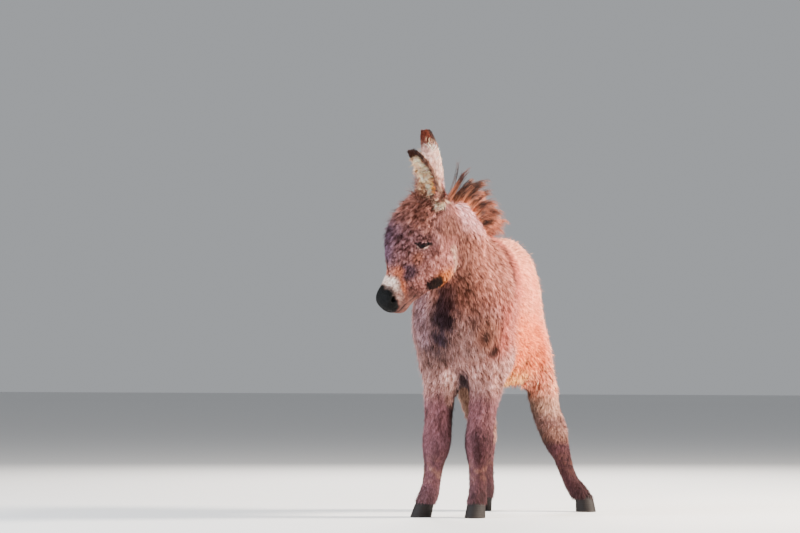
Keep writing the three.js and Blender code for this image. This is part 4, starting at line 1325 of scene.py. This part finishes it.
def ear_hair(skin, count, seed):
    """Long pale hair in the hollows of the ears, along their front margins and over their feet."""
    rng = np.random.default_rng(seed)
    hollow = np.zeros(len(skin.points))
    pull = np.zeros((len(skin.points), 3))
    for ear in EARS:
        t, angle, distance = ear.coordinates(skin.points)
        out = ear.outward(skin.points)
        near = ear.hollow(skin.points, skin.normals, 0.0, 0.5) * (distance < EAR_REACH - 2)
        near = near * ramp(t, 0.02, 0.1) * fall(t, 0.74, 0.88)
        edge = angle / ear.half(t) * ear.lit
        hollow = np.maximum(hollow, near * (0.5 + fall(edge, -0.7, 0.0)) * fall(edge, 0.6, 0.72))
        inward = -out * 0.3 + ear.up * 0.55 - ear.side * np.sign(angle)[:, None] * 0.55 + ear.ahead * 0.25
        pull = np.where((distance < EAR_REACH - 2)[:, None] & (t > 0.05)[:, None], inward, pull)
    spots = skin.spread(hollow, count, seed)
    root = skin.at(skin.points, spots)
    n = len(root)
    lock_turn = np.sin(np.floor(root / EAR_LOCK) @ SCRAMBLE) * 0.45
    way = unit(unit(skin.at(pull, spots)) + lock_turn + rng.normal(0, 0.18, (n, 3)))
    bend = unit(way + UP * -0.2 + lock_turn[:, ::-1] + rng.normal(0, 0.2, (n, 3)))
    base = skin.at(skin.colour, spots)
    warm = ramp(-base[:, 2] / base[:, 0], -0.34, -0.2)
    pale = mix(base * 1.6, EAR_CREAM * 1.9, 0.6 * (1 - warm))
    tone = rng.uniform(0.7, 1.7, (n, 1)) * (1 + lock_turn[:, :1])
    colours = mix(base[:, None, :] * 0.45, pale[:, None, :], np.linspace(0, 1, 5)[None, :])
    colours = colours * tone[:, None, :]
    length = rng.uniform(16, 36, n)
    return wisps("ear_hair", root, way, bend, length, 1.5, colours, skin.map_at(spots), seed + 1, 5)


# ---------- mane and tail ----------
CREST = np.array(
    [[40, -268, 896], [29, -220, 878], [31, -150, 824], [24, -76, 766], [10, 16, 720], [5, 80, 700]],
    float,
)
DORSAL = np.array([[0.42, 0.25, 0.86], [0.02, 0.45, 0.89]])
MANE_WAY = np.array([[0.44, 0.25, 0.86], [0.46, 0.84, 0.28]])
MANE_LENGTH = 94
MANE_HALF = 11
MANE_LOCKS = 36
MANE_STRAYS = 9  # thin long locks that stand apart over the front half
STRAY_FULLNESS = 0.10  # of a full lock's hair
STRAY_LENGTH = 132
STRAY_FAN = 0.5  # how far the first and last of them lean forwards and back


def along_line(points, t):
    """Points along a polyline, smoothed, at shares t of its length."""
    steps = np.linspace(0, 1, len(points))
    dense = np.linspace(0, 1, 80)
    line = np.stack([np.interp(dense, steps, points[:, k]) for k in range(3)], 1)
    for _ in range(60):
        line[1:-1] += 0.5 * ((line[:-2] + line[2:]) / 2 - line[1:-1])
    return np.stack([np.interp(t, dense, line[:, k]) for k in range(3)], 1)


def skin_tree(skin):
    return BVHTree.FromPolygons([Vector(p) for p in skin.points], skin.triangles.tolist())


def mane_frame(t):
    """The crest at shares t of its length, with the ways up, back along it and across it."""
    crest = along_line(CREST, t)
    up = unit(mix(DORSAL[0][None], DORSAL[1][None], t))
    back = unit(along_line(CREST, np.clip(t + 0.02, 0, 1)) - along_line(CREST, np.clip(t - 0.02, 0, 1)))
    return crest, up, back, unit(np.cross(back, up))


def mane_roots(tree, t, aside):
    """Where hairs leave the crest, in it and just under the skin."""
    crest, up, _, across = mane_frame(t)
    inner = crest + across * aside[:, None]
    foot = np.array([tree.ray_cast(Vector(a + u * 150), Vector(-u))[0] or a for a, u in zip(inner, up)])
    return inner, foot - up * 3


def mane_colours(t, stray, lock_tone, steps, rng):
    # lighter foot and tips: partly the mane's own colour and partly painted light
    colour = mix(MANE_FOOT[None], MANE_ROOT[None], np.interp(steps, [0.0, 0.18, 0.42], [0, 0.25, 1]))
    colour = mix(colour, MANE_TIP[None], np.interp(steps, [0.5, 1], [0, 1]))
    # the full locks darker at the front: painted shade; the strays darker still
    dark = np.where(stray, 0.35, mix(0.55, 1.0, ramp(t, 0.22, 0.42)))
    light = lock_tone * rng.uniform(0.5, 1.4, len(t)) * dark
    return colour[None] * light[:, None, None]


def mane_mesh(tree, count, seed):
    """Upright hair along the crest in separate locks that bend over to the rear at their tips."""
    rng = np.random.default_rng(seed)
    lock_rng = np.random.default_rng(seed + 1)
    locks = MANE_LOCKS + MANE_STRAYS
    places = np.append(np.linspace(0.19, 0.99, MANE_LOCKS), np.linspace(0.02, 0.30, MANE_STRAYS))
    fullness = np.append(np.ones(MANE_LOCKS), np.full(MANE_STRAYS, STRAY_FULLNESS))
    fan = np.append(np.zeros(MANE_LOCKS), np.linspace(-STRAY_FAN, STRAY_FAN, MANE_STRAYS))
    lock = rng.choice(locks, count, p=fullness / fullness.sum())
    stray = lock >= MANE_LOCKS
    t = np.clip(places[lock] + rng.uniform(-0.5, 0.5, count) / MANE_LOCKS, 0, 1)
    lock_turn = lock_rng.normal(0, 0.13, (locks, 3))[lock]
    lock_long = lock_rng.uniform(0.76, 1.14, locks)[lock]
    lock_tone = lock_rng.uniform(0.3, 1.6, locks)[lock]
    lock_aside = lock_rng.uniform(-0.7, 0.7, locks)[lock] * MANE_HALF
    _, up, back, across = mane_frame(t)
    inner, foot = mane_roots(tree, t, rng.uniform(-MANE_HALF, MANE_HALF, count))
    hair = mix(MANE_WAY[0][None], MANE_WAY[1][None], t**0.8) + back * fan[lock][:, None]
    hair = unit(hair + lock_turn + rng.normal(0, 0.05, (count, 3)))
    taper = np.minimum(1.0, np.minimum(0.62 + (t - 0.2) * 2.6, 0.25 + (1 - t) * 5.0))
    length = MANE_LENGTH * taper * lock_long * rng.beta(4.6, 1.4, count) * 1.14
    length = np.where(stray, STRAY_LENGTH * lock_long * rng.uniform(0.85, 1.0, count), length)
    steps = np.linspace(0, 1, 8)
    over = np.where(stray, 0.34, 0.32)[:, None, None] * unit(up - back * 0.25)[:, None, :]
    arch = over * (4 * steps * (1 - steps))[None, :, None]
    spine = foot[:, None, :] + length[:, None, None] * (hair[:, None, :] * steps[None, :, None] + arch * 0.8)
    together = mane_frame(places[lock])[0] + across * lock_aside[:, None] - inner
    gathered = np.where(stray, 0.97, 0.95)[:, None, None]
    spine = spine + together[:, None, :] * gathered * (steps**0.9)[None, :, None]
    spine = spine + rng.normal(0, 1.3, (count, 1, 3)) * (steps**2)[None, :, None]
    width = 1.25 * np.interp(steps[:-1], [0, 0.4, 1], [0.9, 1, 0.3])[None] * rng.uniform(0.7, 1.2, (count, 1))
    side = unit(np.cross(hair, rng.normal(size=(count, 3))))
    colours = mane_colours(t, stray, lock_tone, steps, rng)
    uv = np.stack([0.001 + 0.998 * t, rng.uniform(0.01, 0.99, count)], 1)
    return blades("mane_hair", spine, side, width, colours, uv)


TAIL = np.array(
    [[-23, 488, 752], [-23, 534, 744], [-23, 564, 712], [-24, 574, 656], [-24, 574, 596], [-25, 570, 530],
     [-25, 566, 476], [-25, 564, 448]],
    float,
)


def tail_mesh(count, seed):
    """The long hair of the tail's lower half, from the dock down to its point."""
    rng = np.random.default_rng(seed)
    top = rng.uniform(0.34, 0.62, count)
    steps = np.linspace(0, 1, 8)
    angle = rng.uniform(0, 2 * math.pi, count)
    reach = np.minimum(1.0, top + rng.uniform(0.28, 0.62, count))
    share = top[:, None] + (reach - top)[:, None] * steps[None]
    line = along_line(TAIL, share.ravel()).reshape(count, len(steps), 3)
    radius = np.interp(share, [0.3, 0.5, 0.62, 0.75, 0.88, 1.0], [9, 11, 15, 19, 15, 3])
    radius = radius * np.sqrt(rng.uniform(0.15, 1, count))[:, None]
    radius = radius * np.interp(steps, [0, 0.3], [0.75, 1])[None]
    wave = 0.10 * np.sin(steps * 5 + rng.uniform(0, 6, (count, 1)))
    turn = angle[:, None] + wave
    out = np.stack([np.cos(turn), np.sin(turn), np.zeros_like(turn)], 2)
    spine = line + out * radius[:, :, None]
    width = 1.7 * np.interp(steps[:-1], [0, 0.4, 1], [0.7, 1, 0.4])[None] * rng.uniform(0.7, 1.2, (count, 1))
    side = unit(np.cross(out[:, 0], UP) + rng.normal(0, 0.3, (count, 3)))
    colour = mix(CHEST_BROWN[None], MANE_ROOT[None], np.interp(steps, [0, 0.5], [0.2, 1]))
    colours = colour[None] * rng.uniform(0.6, 1.25, (count, 1, 1))
    uv = np.stack([rng.uniform(0.01, 0.99, count), rng.uniform(0.01, 0.99, count)], 1)
    return blades("tail_hair", spine, side, width, colours, uv)


# ---------- eyes and hooves ----------
def grid_mesh(name, rings):
    """A closed mesh from rings of points, with a fan over each end."""
    rings = np.asarray(rings, float)
    rows, columns = rings.shape[:2]
    points = np.concatenate([rings.reshape(-1, 3), [rings[0].mean(axis=0), rings[-1].mean(axis=0)]])
    first, base = rows * columns, (rows - 1) * columns
    j = np.arange(columns)
    k = (j + 1) % columns
    start = np.stack([np.full(columns, first), k, j], 1)
    end = np.stack([np.full(columns, first + 1), base + j, base + k], 1)
    loops = np.concatenate([ring_quads(rows, columns), start.ravel(), end.ravel()])
    totals = np.concatenate([np.full(base, 4), np.full(2 * columns, 3)])
    return make_mesh(name, points, loops, totals)


def eye_mesh(eye):
    """An eyeball with a low cornea, its rings centred on the way it looks."""
    rows, columns = 40, 48
    rings = []
    for i in range(1, rows):
        polar = math.pi * i / rows
        radius = EYE_RADIUS + 0.35 * math.exp(-((polar / 0.5) ** 4))
        turn = np.linspace(0, 2 * math.pi, columns, endpoint=False)
        flat = eye.along * np.cos(turn)[:, None] + eye.up * np.sin(turn)[:, None]
        rings.append(eye.centre + eye.out * radius * math.cos(polar) + flat * radius * math.sin(polar))
    me = grid_mesh("eye_" + eye.hand + "_ball", rings)
    u, v, w = eye.spread(points_of(me))
    off = np.where(w > 0, np.hypot(u, v), EYE_RADIUS)
    colour = mix(EYE_WHITE, EYE_EDGE, fall(off, 12.8, 15.0))
    colour = mix(colour, EYE_IRIS, fall(off, 10.5, 12.6))
    colour = mix(colour, EYE_PUPIL, ramp(-np.hypot(u / 7.5, (v + 1.0) / 3.8), -1.1, -0.9))
    set_colour(me, colour)
    return me


HOOVES = {
    "fore_hoof_left": 2,
    "fore_hoof_right": -24,
    "hind_hoof_left": 40,
    "hind_hoof_right": -4,
}
CORONET = 39.0
HOOF_LEVELS = [0.0, 0.6, 2.0, *np.linspace(4, 35, 22), 37.0, 38.6, 43.0, 52.0]


def hoof_mesh(name, turn_degrees):
    """A small upright foal's hoof: round toe, growth rings, a rim at the coronet and parted heels."""
    turn = math.radians(turn_degrees)
    ahead = np.array([math.sin(turn), -math.cos(turn), 0])
    side = np.array([math.cos(turn), math.sin(turn), 0])
    angle = np.linspace(0, 2 * math.pi, 56, endpoint=False)
    front = np.cos(angle)
    across = np.sin(angle)
    corners = np.array([v.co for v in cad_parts[name].data.vertices])
    centre = to_own(corners[corners[:, 2] > corners[:, 2].max() - 1e-4].mean(axis=0))
    rings = []
    for z in HOOF_LEVELS:
        t = 1 - z / CORONET
        wide = 27 + 4 * t
        toe = 31 + 11 * t
        heel = 27 - 5 * t
        wave = 0.35 * math.sin(z * 1.7) + 0.2 * math.sin(z * 3.1)
        bevel = -1.6 * max(0, 1 - z / 2.0) - 1.4 * max(0, (z - 35.5) / 3.1)
        t = max(t, 0.0)
        reach = np.where(front > 0, toe, heel)
        cleft = 3.2 * bell(angle - math.pi, 0.22) * (0.4 + 0.6 * t)
        grow = 1 + (wave + bevel - 0.7) / 34
        spot = ahead * (reach * front * grow)[:, None] + side * (across * wide * grow)[:, None]
        spot = spot + ahead * (cleft + 10 * t)[:, None]
        ring = np.array([centre[0], centre[1], 0]) + spot
        ring[:, 2] = z
        rings.append(ring)
    me = grid_mesh(name + "_horn", rings)
    p = points_of(me)
    z = p[:, 2]
    streak = 0.5 + 0.5 * np.sin(np.arctan2(p[:, 1] - centre[1], p[:, 0] - centre[0]) * 37)
    colour = mix(np.tile(HOOF_DARK, (len(p), 1)), HOOF_PALE, 0.25 * streak + 0.3 * fall(z, 0, 8))
    colour = colour * (1 - 0.18 * np.sin(z * 1.7))[:, None]
    set_colour(me, colour)
    return me


# ---------- materials ----------
def new_node(tree, kind, inputs=None):
    made = tree.nodes.new("ShaderNode" + kind)
    for name, value in (inputs or {}).items():
        made.inputs[name].default_value = value
    return made


def levels(tree, value, low, high):
    """A value of 0 to 1 as low to high."""
    level = new_node(tree, "MapRange", {"To Min": low, "To Max": high})
    tree.links.new(value, level.inputs["Value"])
    return level


def tinted(tree, strength, scale, detail, stretch):
    """The piece's own colour, made a little lighter and darker by noise, and the noise."""
    own = new_node(tree, "VertexColor")
    own.layer_name = COLOUR_LAYER
    place = new_node(tree, "TexCoord")
    mapping = new_node(tree, "Mapping", {"Scale": stretch})
    noise = new_node(tree, "TexNoise", {"Scale": scale, "Detail": detail})
    level = levels(tree, noise.outputs["Fac"], 1 - strength, 1 + strength)
    level.inputs["From Min"].default_value = 0.3
    level.inputs["From Max"].default_value = 0.7
    scaled = new_node(tree, "VectorMath")
    scaled.operation = "SCALE"
    tree.links.new(place.outputs["Object"], mapping.inputs["Vector"])
    tree.links.new(mapping.outputs["Vector"], noise.inputs["Vector"])
    tree.links.new(own.outputs["Color"], scaled.inputs[0])
    tree.links.new(level.outputs["Result"], scaled.inputs["Scale"])
    return scaled.outputs["Vector"], noise.outputs["Fac"]


def material(name, tint, roughness, specular, bump=None, sheen=0):
    """A material in the piece's own colour.

    tint is the noise's strength, scale, detail and stretch, roughness its least and most, and bump the
    strength and distance of the bump.
    """
    m = bpy.data.materials.new(name)
    m.use_nodes = True
    tree = m.node_tree
    inputs = tree.nodes["Principled BSDF"].inputs
    colour, noise = tinted(tree, *tint)
    tree.links.new(colour, inputs["Base Color"])
    tree.links.new(levels(tree, noise, *roughness).outputs["Result"], inputs["Roughness"])
    inputs["Specular IOR Level"].default_value = specular
    if sheen:
        inputs["Sheen Weight"].default_value = sheen
        inputs["Sheen Roughness"].default_value = 0.45
        inputs["Sheen Tint"].default_value = (1.0, 0.86, 0.76, 1)
    if bump:
        bumps = new_node(tree, "Bump", {"Strength": bump[0], "Distance": bump[1]})
        tree.links.new(noise, bumps.inputs["Height"])
        tree.links.new(bumps.outputs["Normal"], inputs["Normal"])
    return m


FUR_TINT = (0.16, 260, 4.0, (1, 1, 1))
SKIN_TINT = (0.28, 520, 6.0, (1.4, 1.4, 0.5))
EYE_TINT = (0.2, 900, 3.0, (1, 1, 1))
HOOF_TINT = (0.22, 150, 5.0, (1, 1, 0.25))


def floor_material():
    m = bpy.data.materials.new("pale_floor")
    m.use_nodes = True
    tree = m.node_tree
    inputs = tree.nodes["Principled BSDF"].inputs
    noise = new_node(tree, "TexNoise", {"Scale": 3})
    level = levels(tree, noise.outputs["Fac"], 0.66, 0.72)
    grey = new_node(tree, "CombineColor")
    for channel in ("Red", "Green", "Blue"):
        tree.links.new(level.outputs["Result"], grey.inputs[channel])
    tree.links.new(grey.outputs["Color"], inputs["Base Color"])
    inputs["Roughness"].default_value = 0.9
    return m


# ---------- the scene ----------
CAMERA_AZIMUTH = math.radians(21)
CAMERA_ELEVATION = math.radians(2.5)
CAMERA_DISTANCE = 11.0
CAMERA_AIM = (-0.190, 0.731)  # right and up of the origin between the hooves, in metres
PIXELS_PER_METRE = 342.5
IMAGE_WIDTH = 800
SENSOR = 36.0
LIGHT_TARGET = (0, 0, 0.55)
FLOOR_HALF = 30  # metres


def looking(name, data, place, target):
    """A camera or a light at a place, turned to the target."""
    ob = add_object(name, data)
    ob.location = place
    ob.rotation_mode = "QUATERNION"
    ob.rotation_quaternion = (Vector(target) - ob.location).to_track_quat("-Z", "Y")
    return ob


def make_camera():
    a, e = CAMERA_AZIMUTH, CAMERA_ELEVATION
    right = Vector((math.cos(a), math.sin(a), 0))
    out = Vector((math.sin(a) * math.cos(e), -math.cos(a) * math.cos(e), math.sin(e)))
    up = Vector((-math.sin(a) * math.sin(e), math.cos(a) * math.sin(e), math.cos(e)))
    origin = Vector(SHIFT)
    cam = bpy.data.cameras.new("camera")
    cam.sensor_width = SENSOR
    cam.lens = PIXELS_PER_METRE * CAMERA_DISTANCE * SENSOR / IMAGE_WIDTH
    aim = origin + right * CAMERA_AIM[0] + up * CAMERA_AIM[1]
    bpy.context.scene.camera = looking("camera", cam, origin + out * CAMERA_DISTANCE, aim)


def area_light(name, place, size, power, colour):
    light = bpy.data.lights.new(name, "AREA")
    light.energy = power
    light.size = size
    light.color = colour
    looking(name, light, place, LIGHT_TARGET)


def make_stage():
    world = bpy.data.worlds.new("studio")
    world.use_nodes = True
    back = world.node_tree.nodes["Background"]
    back.inputs["Color"].default_value = (0.86, 0.89, 0.93, 1)
    back.inputs["Strength"].default_value = 0.44
    bpy.context.scene.world = world
    me = bpy.data.meshes.new("floor")
    a = FLOOR_HALF
    me.from_pydata([(-a, -a, 0), (a, -a, 0), (a, a, 0), (-a, a, 0)], [], [(0, 1, 2, 3)])
    floor = add_object("floor", me)
    me.materials.append(floor_material())
    area_light("key", (3.2, 1.2, 2.4), 0.9, 860, (1.0, 0.89, 0.77))
    area_light("fill", (-3.0, -3.4, 2.2), 2.2, 450, (0.81, 0.90, 1.0))
    area_light("front", (1.9, -4.4, 2.3), 2.6, 110, (1.0, 0.95, 0.90))
    area_light("back", (-1.4, 3.6, 2.6), 1.6, 300, (1.0, 0.93, 0.86))


def piece(name, me, mat, replaced=()):
    """A visible piece, on the part's one body, in place of the CAD nodes that it replaces."""
    me.materials.clear()
    me.materials.append(mat)
    ob = add_object(name, me)
    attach(ob, "root")
    if replaced:
        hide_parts(*replaced)


def region_masks(skin):
    """Which coat piece each skin vertex belongs to."""
    p = skin.points
    _, y, z = p.T
    side = head_coordinates(p)[:, 2]
    ear = skin.ear > 0.5
    head = (skin.head > 0.5) & ~ear
    rest = ~ear & ~head
    fore = rest & (z < 400) & (y < 120)
    hind = rest & (z < 415) & (y > 285)
    trunk = rest & ~fore & ~hind
    neck = trunk & (y < 60) & (z > 640)
    breast = trunk & (y < 70) & ~neck
    barrel = trunk & (y >= 60) & (y < 300) & ~neck & ~breast
    rump = trunk & ~neck & ~breast & ~barrel
    return {
        "ears": ear,
        "head_left": head & (side > 0),
        "head_right": head & (side <= 0),
        "forelegs": fore,
        "hindlegs": hind,
        "neck": neck,
        "breast": breast,
        "barrel": barrel,
        "rump": rump,
    }


COAT_PIECES = {  # name: (blades, rings, slot)
    "ears": (34000, 2, "ear"),
    "head_left": (56000, 2, "face"),
    "head_right": (44000, 2, "face"),
    "forelegs": (52000, 2, "leg"),
    "hindlegs": (50000, 2, "leg"),
    "neck": (30000, 3, "coat"),
    "breast": (38000, 3, "coat"),
    "barrel": (34000, 3, "flank"),
    "rump": (30000, 3, "flank"),
}
MANE_HAIRS = 7000
EAR_HAIRS = 7000
TAIL_HAIRS = 3600
SKIN_SHADE = 0.62  # the skin is darker than the coat on it


def main():
    make_camera()
    make_stage()
    skin_me = make_skin()
    skin = Surface(skin_me)
    set_colour(skin_me, skin.colour * SKIN_SHADE)
    flesh = FLESH + [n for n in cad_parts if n.startswith("ear_")]
    under = material("skin_under_fur", SKIN_TINT, (0.62, 0.86), 0.15, bump=(0.7, 0.0012))
    piece("skin", skin_me, under, flesh)
    fur = Fur(skin)
    mat = material("coat_fur", FUR_TINT, (0.66, 0.80), 0.1, sheen=0.06)
    few = 1.0
    for i, (name, mask) in enumerate(region_masks(skin).items()):
        count, rings, slot = COAT_PIECES[name]
        me = tufts("coat_" + name, skin, fur, mask * 1.0, int(count * few), 100 + 10 * i, rings)
        piece("coat_" + name, me, mat)
    tree = skin_tree(skin)
    hair = material("long_hair", FUR_TINT, (0.54, 0.68), 0.1, sheen=0.05)
    piece("mane_hair", mane_mesh(tree, int(MANE_HAIRS * few), 501), hair, ["mane"])
    piece("ear_hair", ear_hair(skin, int(EAR_HAIRS * few), 701), hair)
    piece("tail_hair", tail_mesh(int(TAIL_HAIRS * few), 601), hair, ["tail_tuft"])
    wet = material("wet_eye", EYE_TINT, (0.26, 0.4), 0.08)
    for eye in EYES:
        piece("eye_" + eye.hand + "_ball", eye_mesh(eye), wet, ["eye_" + eye.hand])
    horn = material("hoof_horn", HOOF_TINT, (0.6, 0.85), 0.25, bump=(0.5, 0.0008))
    for name, turn in HOOVES.items():
        piece(name + "_horn", hoof_mesh(name, turn), horn, [name])


main()
